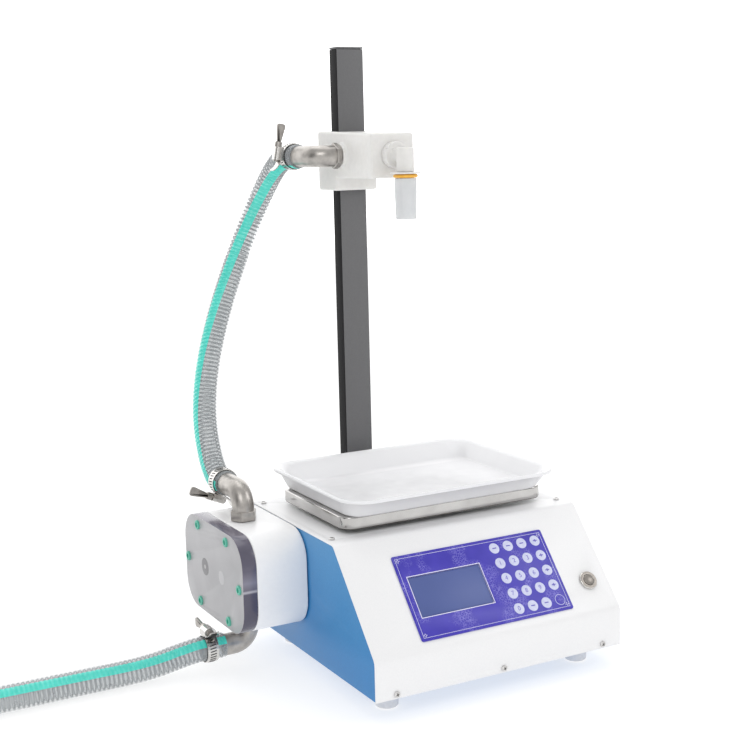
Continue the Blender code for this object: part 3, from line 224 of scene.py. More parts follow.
def graded(material, low, high, stops, strength, blend):
    """Lays a ramp of painted light and shade, as (place, colour) stops, over a finish, from one height to
    another.
    """
    nodes, links = material.node_tree.nodes, material.node_tree.links
    level = nodes.new("ShaderNodeSeparateXYZ")
    reach = nodes.new("ShaderNodeMapRange")
    reach.inputs["From Min"].default_value = low
    reach.inputs["From Max"].default_value = high
    ramp = nodes.new("ShaderNodeValToRGB")
    ramp.color_ramp.elements[0].color = (*stops[0][1], 1)
    ramp.color_ramp.elements[1].color = (*stops[-1][1], 1)
    for place, colour in stops[1:-1]:
        ramp.color_ramp.elements.new(place).color = (*colour, 1)
    mix = nodes.new("ShaderNodeMix")
    mix.data_type = "RGBA"
    mix.blend_type = blend
    mix.inputs["Factor"].default_value = strength
    links.new(nodes["Texture Coordinate"].outputs["Object"], level.inputs["Vector"])
    links.new(level.outputs["Z"], reach.inputs["Value"])
    links.new(reach.outputs["Result"], ramp.inputs["Fac"])
    links.new(nodes["Color Ramp"].outputs["Color"], mix.inputs["A"])
    links.new(ramp.outputs["Color"], mix.inputs["B"])
    links.new(mix.outputs["Result"], nodes["Principled BSDF"].inputs["Base Color"])


white_coat = finish(
    "white_powder_coat", (0.88, 0.88, 0.885), (0.85, 0.85, 0.86), 900, (0.30, 0.42), 0.02 * MM,
)
blue_coat_painted_light = finish(
    "blue_powder_coat_painted_light", (0.050, 0.250, 0.53), (0.040, 0.215, 0.48), 900, (0.28, 0.40), 0.02 * MM,
)
# The blue coat gets a painted ramp by height: painted glare makes it paler towards the top, and painted shade
# makes it deeper towards the bottom.
SHADE_LOW, SHADE_HIGH = 30 * MM, 150 * MM
graded(blue_coat_painted_light, SHADE_LOW, SHADE_HIGH, ((0, (0.45, 0.86, 0.98)), (1, (1.75, 1.24, 1.14))), 1.0, "MULTIPLY")
piece("cover", copied("top_cover", 0.35 * MM), white_coat, "white_sheet", "base", "top_cover")
piece("side_walls", copied("chassis", 0.35 * MM), blue_coat_painted_light, "blue_sheet", "base", "chassis")
piece("back_wall", copied("rear_panel", 0.35 * MM), blue_coat_painted_light, "blue_sheet", "base", "rear_panel")
base_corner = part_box("top_cover")[0]

# ---- feet: moulded rubber pads under the chassis -----------------------------------------------
# Each foot is a white rubber disc with a rounded lower rim, screwed on through its middle.
foot_rubber = finish("white_rubber", (0.80, 0.80, 0.81), (0.74, 0.74, 0.76), 400, (0.5, 0.65), 0.03 * MM)
for end in ("front", "rear"):
    for side in ("left", "right"):
        node = f"foot_{end}_{side}"
        piece(node + "_pad", copied(node, 0.8 * MM, 3), foot_rubber, "white_rubber", "base", node)

# ---- screws of the base: cross-head pan screws -------------------------------------------------
# Zinc-plated steel with a domed head and a punched cross. Three hold the front lip and four the
# cover's top.
screw_steel = finish("screw_steel", (0.74, 0.73, 0.72), (0.60, 0.59, 0.58), 500, (0.35, 0.5), 0.0, 1.0)
# The near-black of the cross is painted shade, standing in for the shade inside a punched recess.
cross_shade = finish("screw_cross_painted_shade", (0.24, 0.23, 0.22), (0.16, 0.15, 0.15), 500, (0.5, 0.6))


HEAD_RADIUS, HEAD_HEIGHT = 3 * MM, 1.5 * MM
CROSS_LENGTH, CROSS_WIDTH, CROSS_HEIGHT, CROSS_TURN = 1.1, 0.34, 0.12, 0.4


def only(kind, made):
    """The items of one kind, such as BMVert, among those that an operator made."""
    return [item for item in made if isinstance(item, kind)]


def pan_head(node, axis, out, radius, height):
    """A domed head with a cross on it, painted dark as the shade of a pressed recess, over the shank's end of
    a frame node.
    """
    low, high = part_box(node)
    centre = (low + high) / 2
    base = high[axis] - height if out > 0 else low[axis] + height
    bm = bmesh.new()
    ring = bmesh.ops.create_circle(bm, cap_ends=True, segments=32, radius=radius)["verts"]
    face = ring[0].link_faces[0]
    for lift, scale in ((0.45, 1.0), (0.78, 0.86), (1.0, 0.62)):
        face = only(bmesh.types.BMFace, bmesh.ops.extrude_face_region(bm, geom=[face])["geom"])[0]
        for vert in face.verts:
            spoke = Vector((vert.co.x, vert.co.y)).normalized() * radius * scale
            vert.co = (spoke.x, spoke.y, height * lift)
    bmesh.ops.recalc_face_normals(bm, faces=bm.faces)
    for turn in (0, math.pi / 2):
        arm = bmesh.ops.create_cube(bm, size=1.0)["verts"]
        shape = Matrix.Rotation(turn + CROSS_TURN, 4, "Z") @ Matrix.Diagonal(
            (radius * CROSS_LENGTH, radius * CROSS_WIDTH, height * CROSS_HEIGHT, 1)
        )
        bmesh.ops.transform(bm, matrix=Matrix.Translation((0, 0, height)) @ shape, verts=arm)
        # The cross block takes the dark material: painted shade for the recess.
        for f in {f for v in arm for f in v.link_faces}:
            f.material_index = 1
    up = Vector([out if i == axis else 0 for i in range(3)])
    place = up.to_track_quat("Z", "Y").to_matrix().to_4x4()
    place.translation = [base if i == axis else centre[i] for i in range(3)]
    bmesh.ops.transform(bm, matrix=place, verts=bm.verts)
    return bm


for row, count, axis, out in (("front", 3, 1, -1), ("top", 4, 2, 1)):
    for i in range(1, count + 1):
        node = f"{row}_screw_{i}"
        head = pan_head(node, axis, out, HEAD_RADIUS, HEAD_HEIGHT)
        piece(node + "_head", head, [screw_steel, cross_shade], "stainless_steel", "base", node)

# ---- keypad panel: printed film, display, push button ------------------------------------------
# A violet-blue polyester film with white print is glued on the slope. Its twenty round keys are
# slightly domed. The display's glass fills the window, with a white line printed round it.
SLOPE_RUN, SLOPE_FALL = 78 * MM, 90.5 * MM
slope = math.atan2(SLOPE_FALL, SLOPE_RUN)
panel = Matrix.Translation((base_corner.x, base_corner.y + SLOPE_RUN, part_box("top_cover")[1].z))
panel = panel @ Matrix.Rotation(slope, 4, "X")
FILM_LEFT, FILM_TOP, FILM_WIDE, FILM_HIGH = 53 * MM, 23 * MM, 173.5 * MM, 87.5 * MM
WINDOW_LEFT, WINDOW_TOP, WINDOW_WIDE, WINDOW_HIGH = 62.4 * MM, 46.3 * MM, 80.5 * MM, 41.2 * MM
film_points = [panel.inverted() @ v.co for v in frame["nodes"]["keypad_overlay"].data.vertices]
FILM_FACE = max(point.z for point in film_points)


def outline_frame(left, top, wide, high, line, low, up):
    """A thin printed frame: the plate's rim, line wide, with its middle taken out."""
    bm = bmesh.new()
    bmesh.ops.create_grid(bm, x_segments=1, y_segments=1, size=0.5)
    size = Matrix.Diagonal((wide, high, 1, 1))
    middle = Matrix.Translation((left + wide / 2, -top - high / 2, low))
    bmesh.ops.transform(bm, matrix=middle @ size, verts=bm.verts)
    inner = bm.faces[:]
    bmesh.ops.inset_region(bm, faces=inner, thickness=line, depth=0, use_boundary=True)
    bmesh.ops.delete(bm, geom=inner, context="FACES")
    made = bmesh.ops.extrude_face_region(bm, geom=bm.faces[:])["geom"]
    bmesh.ops.translate(bm, verts=only(bmesh.types.BMVert, made), vec=(0, 0, up - low))
    bmesh.ops.recalc_face_normals(bm, faces=bm.faces)
    return bm


def thin_disc(bm, radius, spot, thick, segments=32):
    """A thin round plate standing on a spot, added to a mesh; its top face is handed back."""
    before = len(bm.verts)
    rim = bmesh.ops.create_circle(bm, cap_ends=True, segments=segments, radius=radius)["verts"]
    under = rim[0].link_faces[0]
    top = only(bmesh.types.BMFace, bmesh.ops.extrude_face_region(bm, geom=[under])["geom"])[0]
    bmesh.ops.translate(bm, verts=top.verts[:], vec=(0, 0, thick))
    bm.verts.ensure_lookup_table()
    bmesh.ops.translate(bm, verts=bm.verts[before:], vec=spot)
    return top


film = finish("panel_film", (0.055, 0.040, 0.46), (0.045, 0.033, 0.41), 60, (0.30, 0.40))
tree = film.node_tree
flowers = tree.nodes.new("ShaderNodeTexVoronoi")
flowers.feature = "DISTANCE_TO_EDGE"
flowers.inputs["Scale"].default_value = 420
patches = tree.nodes.new("ShaderNodeTexNoise")
patches.inputs["Scale"].default_value = 38
lines = tree.nodes.new("ShaderNodeMapRange")
lines.inputs["From Min"].default_value = 0.09
lines.inputs["From Max"].default_value = 0.02
where = tree.nodes.new("ShaderNodeMapRange")
where.inputs["From Min"].default_value = 0.52
where.inputs["From Max"].default_value = 0.62
where.inputs["To Max"].default_value = 0.45
both = tree.nodes.new("ShaderNodeMath")
both.operation = "MULTIPLY"
print_mix = tree.nodes.new("ShaderNodeMix")
print_mix.data_type = "RGBA"
print_mix.inputs["B"].default_value = (0.42, 0.40, 0.86, 1)
coordinates = tree.nodes["Texture Coordinate"]
ground = tree.nodes["Color Ramp"]
shader = tree.nodes["Principled BSDF"]
tree.links.new(coordinates.outputs["Object"], flowers.inputs["Vector"])
tree.links.new(coordinates.outputs["Object"], patches.inputs["Vector"])
tree.links.new(flowers.outputs["Distance"], lines.inputs["Value"])
tree.links.new(patches.outputs["Fac"], where.inputs["Value"])
tree.links.new(lines.outputs["Result"], both.inputs[0])
tree.links.new(where.outputs["Result"], both.inputs[1])
tree.links.new(both.outputs["Value"], print_mix.inputs["Factor"])
tree.links.new(ground.outputs["Color"], print_mix.inputs["A"])
tree.links.new(print_mix.outputs["Result"], shader.inputs["Base Color"])
white_print = finish("white_print", (0.86, 0.86, 0.95), (0.78, 0.78, 0.90), 500, (0.3, 0.4))
piece("film", copied("keypad_overlay", 0.15 * MM), film, "panel_film", "base", "keypad_overlay")

edge_line = outline_frame(
    FILM_LEFT + 3 * MM, FILM_TOP + 3 * MM, FILM_WIDE - 6 * MM, FILM_HIGH - 6 * MM,
    0.45 * MM, FILM_FACE, FILM_FACE + 0.05 * MM,
)
for across in (FILM_LEFT + 5.6 * MM, FILM_LEFT + FILM_WIDE - 5.6 * MM):
    for down in (FILM_TOP + 5.6 * MM, FILM_TOP + FILM_HIGH - 5.6 * MM):
        for angle in range(0, 360, 90):
            way = math.radians(angle)
            spot = (across + 1.3 * MM * math.cos(way), -down + 1.3 * MM * math.sin(way), FILM_FACE)
            thin_disc(edge_line, 0.5 * MM, spot, 0.05 * MM, 16)
bmesh.ops.recalc_face_normals(edge_line, faces=edge_line.faces)
bmesh.ops.transform(edge_line, matrix=panel, verts=edge_line.verts)
piece("film_edge_line", edge_line, white_print, "panel_film", "base")
window_line = outline_frame(
    WINDOW_LEFT - 1.0 * MM, WINDOW_TOP - 1.0 * MM, WINDOW_WIDE + 2.0 * MM, WINDOW_HIGH + 2.0 * MM,
    1.0 * MM, FILM_FACE, FILM_FACE + 0.06 * MM,
)
bmesh.ops.transform(window_line, matrix=panel, verts=window_line.verts)
piece("window_line", window_line, white_print, "panel_film", "base")

display_glass = finish("display_glass", (0.085, 0.125, 0.35), (0.070, 0.105, 0.30), 12, (0.35, 0.45))
piece("display", copied("display_module", 0.2 * MM), display_glass, "display", "base", "display_module")

KEY_RADIUS, KEY_PITCH_X, KEY_PITCH_Y = 5.6 * MM, 16.2 * MM, 16.3 * MM
KEY_LEFT, KEY_TOP = 166.4 * MM, 33.9 * MM
KEY_HIGH, INK_THICK = 0.32 * MM, 0.05 * MM
COLUMNS, ROWS = 4, 5
key_white = finish("key_white", (0.66, 0.68, 0.86), (0.56, 0.59, 0.80), 300, (0.28, 0.36))
key_ink = finish("key_ink", (0.16, 0.14, 0.60), (0.12, 0.10, 0.50), 300, (0.3, 0.4))
keys = bmesh.new()
for column in range(COLUMNS):
    for row in range(ROWS):
        centre = (KEY_LEFT + KEY_PITCH_X * column, -(KEY_TOP + KEY_PITCH_Y * row), FILM_FACE)
        face = thin_disc(keys, KEY_RADIUS, centre, 0.10 * MM, 40)
        for inset, lift in ((0.5 * MM, 0.08 * MM), (1.2 * MM, 0.06 * MM), (2.2 * MM, 0.03 * MM)):
            bmesh.ops.inset_region(keys, faces=[face], thickness=inset, depth=0)
            bmesh.ops.translate(keys, verts=face.verts[:], vec=(0, 0, lift))
            if (column, row) == (COLUMNS - 1, ROWS - 1) and inset < MM:
                face.material_index = 1
bmesh.ops.recalc_face_normals(keys, faces=keys.faces)
bmesh.ops.transform(keys, matrix=panel, verts=keys.verts)
piece("keys", keys, [key_white, film], "panel_film", "base", smooth=60)

LEGENDS = {
    (0, 1): "1", (1, 1): "2", (2, 1): "3", (0, 2): "4", (1, 2): "5", (2, 2): "6",
    (0, 3): "7", (1, 3): "8", (2, 3): "9", (0, 4): "0",
}
marks = bmesh.new()
for column in range(COLUMNS):
    for row in range(ROWS):
        centre = (KEY_LEFT + KEY_PITCH_X * column, -(KEY_TOP + KEY_PITCH_Y * row), FILM_FACE + KEY_HIGH)
        before = len(marks.verts)
        if (column, row) in LEGENDS:
            text = bpy.data.curves.new("figure", "FONT")
            text.body = LEGENDS[column, row]
            text.size = 6.5 * MM
            text.align_x, text.align_y = "CENTER", "CENTER"
            holder = bpy.data.objects.new("figure", text)
            bpy.context.collection.objects.link(holder)
            bpy.context.view_layer.update()
            figure = holder.to_mesh()
            marks.from_mesh(figure)
            holder.to_mesh_clear()
            bpy.data.objects.remove(holder)
        else:
            bar = bmesh.ops.create_grid(marks, x_segments=1, y_segments=1, size=0.5)["verts"]
            bmesh.ops.scale(marks, vec=(4.6 * MM, 1.1 * MM, 1), verts=bar)
            bar = bmesh.ops.create_grid(marks, x_segments=1, y_segments=1, size=0.5)["verts"]
            bmesh.ops.scale(marks, vec=(1.1 * MM, 3.2 * MM if column == 3 else 0.8 * MM, 1), verts=bar)
        marks.verts.ensure_lookup_table()
        bmesh.ops.translate(marks, verts=marks.verts[before:], vec=centre)
made = bmesh.ops.extrude_face_region(marks, geom=marks.faces[:])["geom"]
bmesh.ops.translate(marks, verts=only(bmesh.types.BMVert, made), vec=(0, 0, INK_THICK))
bmesh.ops.recalc_face_normals(marks, faces=marks.faces)
bmesh.ops.transform(marks, matrix=panel, verts=marks.verts)
piece("key_marks", marks, key_ink, "panel_film", "base")

bright_steel = finish("bright_steel", (0.74, 0.72, 0.69), (0.60, 0.585, 0.56), 700, (0.16, 0.28), 0.0, 1.0)
brushed_cap = finish(
    "brushed_cap", (0.34, 0.31, 0.28), (0.27, 0.25, 0.23), 900, (0.30, 0.42), 0.0, 1.0, (1, 8, 8),
)
bezel = copied("button_body", 0.3 * MM, 3)
facing_out = (panel.to_3x3() @ Vector((0, 0, 1))).normalized()
for face in bezel.faces:
    if face.normal.dot(facing_out) > 0.97:
        face.material_index = 1
piece("button_bezel", bezel, [bright_steel, brushed_cap], "stainless_steel", "base", "button_body")
cap = copied("button_cap", 0.3 * MM, 3)
piece("button_top", cap, brushed_cap, "stainless_steel", "start_button", "button_cap")

# ---- electric parts: boards, motor, load cell and the mains inlet ------------------------------
# They are bought parts, screwed inside the chassis. Only the inlet and its switch show, in their
# opening in the rear panel.
cast_aluminium = finish(
    "cast_aluminium", (0.62, 0.62, 0.64), (0.50, 0.50, 0.52), 350, (0.35, 0.5), 0.03 * MM, 1.0,
)
black_plastic = finish(
    "black_plastic", (0.035, 0.035, 0.037), (0.022, 0.022, 0.024), 600, (0.40, 0.55), 0.03 * MM,
)
green_board = finish("green_board", (0.02, 0.17, 0.07), (0.015, 0.12, 0.05), 300, (0.35, 0.5))
dark_enamel = finish("dark_enamel", (0.06, 0.06, 0.065), (0.045, 0.045, 0.05), 500, (0.35, 0.5), 0.03 * MM)
inner = {
    "power_supply": (cast_aluminium, "aluminium"),
    "load_cell": (cast_aluminium, "aluminium"),
    "load_cell_mount": (cast_aluminium, "aluminium"),
    "motor_bracket": (cast_aluminium, "aluminium"),
    "shaft_coupling": (cast_aluminium, "aluminium"),
    "gear_motor": (dark_enamel, "dark_paint"),
    "control_board": (green_board, "circuit_board"),
    "shaft_seal": (black_plastic, "dark_rubber"),
}
for node, (material, slot) in inner.items():
    body = "pump_drive" if node == "shaft_coupling" else "base"
    piece(node + "_part", copied(node, 0.4 * MM), material, slot, body, node)
piece("mains_inlet", copied("power_inlet", 0.5 * MM), black_plastic, "dark_rubber", "base", "power_inlet")
piece("mains_switch", copied("rocker", 0.6 * MM, 3), black_plastic, "dark_rubber", "power_switch", "rocker")

# ---- pump: machined body, clear cover, gears and cap screws ------------------------------------
# The body is a block of white plastic with large round corners. A 15 mm acrylic cover lies on it,
# frosted by wear on its face, and six screws with teal caps hold both. Two gears turn behind it.
milled_white = finish("milled_white", (0.91, 0.91, 0.915), (0.89, 0.89, 0.90), 250, (0.28, 0.40), 0.02 * MM)
shader = milled_white.node_tree.nodes["Principled BSDF"]
shader.inputs["Subsurface Weight"].default_value = 0.15
shader.inputs["Subsurface Radius"].default_value = (0.01, 0.01, 0.01)
piece("pump_block", copied("pump_body", 1.2 * MM, 4), milled_white, "white_plastic", "base", "pump_body")

acrylic_face = finish("acrylic_face", (0.45, 0.445, 0.46), (0.39, 0.385, 0.40), 28, (0.30, 0.40), 0.0)
acrylic_edge_painted_reflections = finish("acrylic_edge_painted_reflections", (0.17, 0.155, 0.21), (0.11, 0.10, 0.145), 25, (0.12, 0.22))
cover_low, cover_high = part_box("pump_cover")
# The cover's edge faces get bands painted by height over their smoky colour: a thin bright painted reflection
# across the middle, with lighter and darker painted bands of reflection above and below it.
edge_reflection_stops = (
    (0, (0.055, 0.05, 0.075)), (0.47, (0.07, 0.063, 0.095)), (0.49, (0.62, 0.60, 0.64)),
    (0.51, (0.16, 0.15, 0.19)), (0.58, (0.27, 0.26, 0.32)), (0.70, (0.11, 0.10, 0.14)),
    (0.88, (0.075, 0.07, 0.10)), (1, (0.14, 0.13, 0.17)),
)
graded(acrylic_edge_painted_reflections, cover_low.z, cover_high.z, edge_reflection_stops, 0.72, "MIX")
cover = copied("pump_cover", 0.6 * MM, 3)
for face in cover.faces:
    if abs(face.normal.x) < 0.7:
        face.material_index = 1
piece("acrylic_cover", cover, [acrylic_face, acrylic_edge_painted_reflections], "smoky_cover", "base", "pump_cover")

# Three thin discs on the cover's face are painted light and shade of the gears behind it: a dark painted
# shadow round the drive shaft with a paler painted spot at its middle, and a slightly paler painted patch
# over the idler's bearing.
shade_ring = finish("shaft_end_shade", (0.24, 0.235, 0.245), (0.19, 0.185, 0.195), 60, (0.35, 0.45))
shade_core = finish("shaft_end_core", (0.50, 0.49, 0.50), (0.44, 0.43, 0.44), 60, (0.35, 0.45))
bearing_shade = finish("bearing_shade", (0.52, 0.515, 0.53), (0.48, 0.475, 0.49), 60, (0.35, 0.45))
DRIVE_Y, IDLER_Y, GEARS_Z = 231.5 * MM, 188.5 * MM, 99.5 * MM
DISC_THICK = 0.2 * MM
for name, gear_y, radius, stand, material in (
    ("shaft_end_shadow", DRIVE_Y, 9.0 * MM, 0.1 * MM, shade_ring),
    ("shaft_end_centre", DRIVE_Y, 2.2 * MM, 0.12 * MM, shade_core),
    ("bearing_shadow", IDLER_Y, 7.0 * MM, 0.1 * MM, bearing_shade),
):
    bm = bmesh.new()
    thin_disc(bm, radius, (0, 0, 0), DISC_THICK, 40)
    bmesh.ops.recalc_face_normals(bm, faces=bm.faces)
    turn = Matrix.Rotation(-math.pi / 2, 4, "Y")
    turn.translation = (cover_low.x + DISC_THICK - stand, base_corner.y + gear_y, GEARS_Z)
    bmesh.ops.transform(bm, matrix=turn, verts=bm.verts)
    piece(name, bm, material, "smoky_cover", "base")

gear_nylon = finish("gear_nylon", (0.80, 0.79, 0.75), (0.74, 0.73, 0.69), 200, (0.35, 0.5))
piece("driven_gear", copied("drive_gear", 0.3 * MM), gear_nylon, "gear_plastic", "pump_drive", "drive_gear")
piece("follower_gear", copied("idler_gear", 0.3 * MM), gear_nylon, "gear_plastic", "pump_idler", "idler_gear")

teal_cap = finish("teal_cap", (0.105, 0.50, 0.37), (0.085, 0.44, 0.32), 400, (0.30, 0.42), 0.02 * MM)
# A darker teal for the socket floors: painted shade in the recess.
teal_socket_painted_shade = finish("teal_socket_painted_shade", (0.075, 0.40, 0.295), (0.06, 0.34, 0.25), 400, (0.4, 0.5))
CAP_RADIUS, CAP_HEIGHT, CAP_ROUND = 4.8 * MM, 1.8 * MM, 0.7 * MM
SOCKET_INSET, SOCKET_DEPTH = CAP_RADIUS * 0.46, CAP_HEIGHT * 0.6
for i in range(1, 7):
    node = f"pump_screw_{i}"
    low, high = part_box(node)
    bm = bmesh.new()
    top = thin_disc(bm, CAP_RADIUS, (0, 0, 0), CAP_HEIGHT, 40)
    rim = top.edges[:]
    bmesh.ops.inset_region(bm, faces=[top], thickness=SOCKET_INSET, depth=0)
    floor_face = only(bmesh.types.BMFace, bmesh.ops.extrude_face_region(bm, geom=[top])["geom"])[0]
    bmesh.ops.delete(bm, geom=[top], context="FACES")
    bmesh.ops.translate(bm, verts=floor_face.verts[:], vec=(0, 0, -SOCKET_DEPTH))
    # The socket floor takes the darker teal, which is painted shade.
    floor_face.material_index = 1
    rounded(bm, rim, CAP_ROUND, 3)
    bmesh.ops.recalc_face_normals(bm, faces=bm.faces)
    turn = Matrix.Rotation(-math.pi / 2, 4, "Y")
    turn.translation = (cover_low.x, (low.y + high.y) / 2, (low.z + high.z) / 2)
    bmesh.ops.transform(bm, matrix=turn, verts=bm.verts)
    piece(node + "_cap", bm, [teal_cap, teal_socket_painted_shade], "teal_screws", "base", node)

# ---- elbows: cast stainless street elbows -------------------------------------------------------
# Each is investment cast and blasted, so its skin is satin and slightly warm. It screws into its
# port by a hexagon, bends through a quarter turn and ends in a plain tail inside the hose.
cast_steel = finish("cast_steel", (0.50, 0.475, 0.445), (0.36, 0.34, 0.32), 160, (0.28, 0.42), 0.04 * MM, 1.0)
TUBE, BORE, BEND = 11.2 * MM, 8.5 * MM, 17 * MM
HEX_FLATS, HEX_LIFT, HEX_ROUND = 24 * MM, 0.3 * MM, 1.1 * MM
COLLAR = 2 * MM


def facing(across, up, origin):
    """A right-handed frame with its x and z directions given."""
    x, z = Vector(across).normalized(), Vector(up).normalized()
    y = z.cross(x)
    turn = Matrix([(x[i], y[i], z[i]) for i in range(3)]).to_4x4()
    return Matrix.Translation(origin) @ turn


def street_elbow(nut, run):
    """Nut, collar, quarter bend and tail; the port is at the origin and the tube rises from it."""
    bm = bmesh.new()
    thin_disc(bm, HEX_FLATS / math.sqrt(3), (0, 0, HEX_LIFT), nut, 6)
    bmesh.ops.recalc_face_normals(bm, faces=bm.faces)
    rounded(bm, bm.edges[:], HEX_ROUND, 4)
    shell = []
    for radius in (TUBE, BORE):
        ring = bmesh.ops.create_circle(bm, segments=56, radius=radius)["verts"]
        bmesh.ops.translate(bm, verts=ring, vec=(0, 0, nut / 2))
        start = [e for e in bm.edges if e.verts[0] in ring and e.verts[1] in ring]
        edges = only(bmesh.types.BMEdge, bmesh.ops.extrude_edge_only(bm, edges=start)["geom"])
        bmesh.ops.translate(bm, verts=list({v for e in edges for v in e.verts}), vec=(0, 0, nut / 2 + COLLAR))
        made = bmesh.ops.spin(
            bm, geom=edges, cent=(BEND, 0, nut + COLLAR), axis=(0, 1, 0), angle=math.pi / 2, steps=20,
        )["geom_last"]
        edges = only(bmesh.types.BMEdge, made)
        edges = only(bmesh.types.BMEdge, bmesh.ops.extrude_edge_only(bm, edges=edges)["geom"])
        bmesh.ops.translate(bm, verts=list({v for e in edges for v in e.verts}), vec=(run, 0, 0))
        shell.append((start, edges))
    for k in (0, 1):
        bmesh.ops.bridge_loops(bm, edges=shell[0][k] + shell[1][k])
    bmesh.ops.recalc_face_normals(bm, faces=bm.faces)
    return bm


PORT_X = base_corner.x - 34 * MM
PUMP_Y = base_corner.y + 210 * MM
NUT, THIN_NUT = 10 * MM, 6 * MM
pump_low, pump_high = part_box("pump_body")
block_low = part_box("carriage_block")[0]
port_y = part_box("column")[0].y - 25.5 * MM
port_z = 509.5 * MM
OUTLET_TAIL, INLET_TAIL, TOP_TAIL = 23 * MM, 11 * MM, 23.5 * MM
outlet_port = facing((0, 1, 0), (0, 0, 1), (PORT_X, PUMP_Y, pump_high.z))
inlet_port = facing((-1, 0, 0), (0, 0, -1), (PORT_X, PUMP_Y, pump_low.z))
carriage_port = facing((0, 1, 0), (-1, 0, 0), (block_low.x, port_y, port_z))
for name, nut, run, port, body, node in (
    ("outlet_bend", NUT, OUTLET_TAIL, outlet_port, "base", "outlet_elbow"),
    ("inlet_bend", NUT, INLET_TAIL, inlet_port, "base", "inlet_elbow"),
    ("carriage_bend", THIN_NUT, TOP_TAIL, carriage_port, "carriage", "carriage_elbow"),
):
    bend = street_elbow(nut, run)
    bmesh.ops.transform(bend, matrix=port, verts=bend.verts)
    piece(name, bend, cast_steel, "stainless_steel", body, node)

# ---- hoses: clear PVC with a steel coil ---------------------------------------------------------
# The hose is extruded soft PVC round a steel wire coil, 26 mm outside, with one teal stripe along
# it. The wall stands up a little over each turn of the wire. It is cut square and pushed on.
HOSE, WALL = 13 * MM, 3 * MM
PITCH, WIRE = 4.6 * MM, 0.75 * MM
SIDES, WIRE_SIDES, WIRE_STEPS = 36, 5, 14
RIB = 0.7 * MM
DELIVERY = [
    (-34.0, 250.4, 178.0), (-34.0, 271.0, 178.0), (-33.7, 286.0, 187.5), (-32.0, 300.0, 201.0),
    (-28.8, 316.0, 220.0), (-23.5, 331.0, 242.0), (-15.5, 345.0, 267.0), (-5.0, 357.5, 295.0),
    (8.0, 369.0, 324.0), (22.5, 379.5, 353.0), (37.0, 387.0, 381.0), (50.5, 391.5, 408.0),
    (62.0, 391.5, 432.5), (71.0, 387.0, 454.5), (77.5, 377.5, 474.5), (82.0, 363.5, 492.5),
    (84.1, 346.0, 504.6), (84.5, 326.5, 509.5), (84.5, 298.9, 509.5),
]
SUCTION = [
    (-62.4, 210.0, 21.5), (-88.0, 210.0, 21.5), (-110.0, 210.0, 18.8), (-130.0, 210.0, 15.6),
    (-150.0, 210.0, 13.8), (-172.0, 210.0, 13.2), (-200.0, 210.0, 13.2), (-235.0, 210.0, 13.2),
    (-272.0, 210.0, 13.2), (-310.0, 210.0, 13.2), (-350.0, 210.0, 13.2), (-385.0, 210.0, 13.2),
    (-420.0, 210.0, 13.2),
]
TURN_X, TURN_Y, TURN_RADIUS, TURN_ANGLE, TURN_STEPS = -420.0, 345.0, 135.0, math.radians(290), 29
for i in range(1, TURN_STEPS + 1):
    angle = -math.pi / 2 - TURN_ANGLE * i / TURN_STEPS
    SUCTION.append((TURN_X + TURN_RADIUS * math.cos(angle), TURN_Y + TURN_RADIUS * math.sin(angle), 13.2))


def centre_line(route, spacing):
    """A smooth curve through a route's points, read at an even spacing, its end legs straight."""
    points = [Vector((base_corner.x + x * MM, base_corner.y + y * MM, z * MM)) for x, y, z in route]
    fine = [points[0].lerp(points[1], k / 10) for k in range(10)]
    for i in range(1, len(points) - 2):
        before, a, b, after = points[i - 1 : i + 3]
        for k in range(12):
            t = k / 12
            pull = (b - before) * t + (2 * before - 5 * a + 4 * b - after) * t**2
            fine.append(a + (pull + (3 * a - before - 3 * b + after) * t**3) / 2)
    fine += [points[-2].lerp(points[-1], k / 10) for k in range(11)]
    even, left = [fine[0]], spacing
    for a, b in zip(fine, fine[1:]):
        length = (b - a).length
        while left <= length:
            even.append(a.lerp(b, left / length))
            left += spacing
        left -= length
    even[-1] = fine[-1]
    return even


def frames_along(path, up, turn, first=0.0):
    """A frame at each point, its z along the path, turned from first evenly on by turn in all."""
    frames = []
    side = Vector(up)
    for i, point in enumerate(path):
        along = (path[min(i + 1, len(path) - 1)] - path[max(i - 1, 0)]).normalized()
        side = (side - along * side.dot(along)).normalized()
        basis = Matrix([(side[k], along.cross(side)[k], along[k]) for k in range(3)]).to_4x4()
        twist = Matrix.Rotation(first + turn * i / (len(path) - 1), 4, "Z")
        frames.append(Matrix.Translation(point) @ basis @ twist)
    return frames


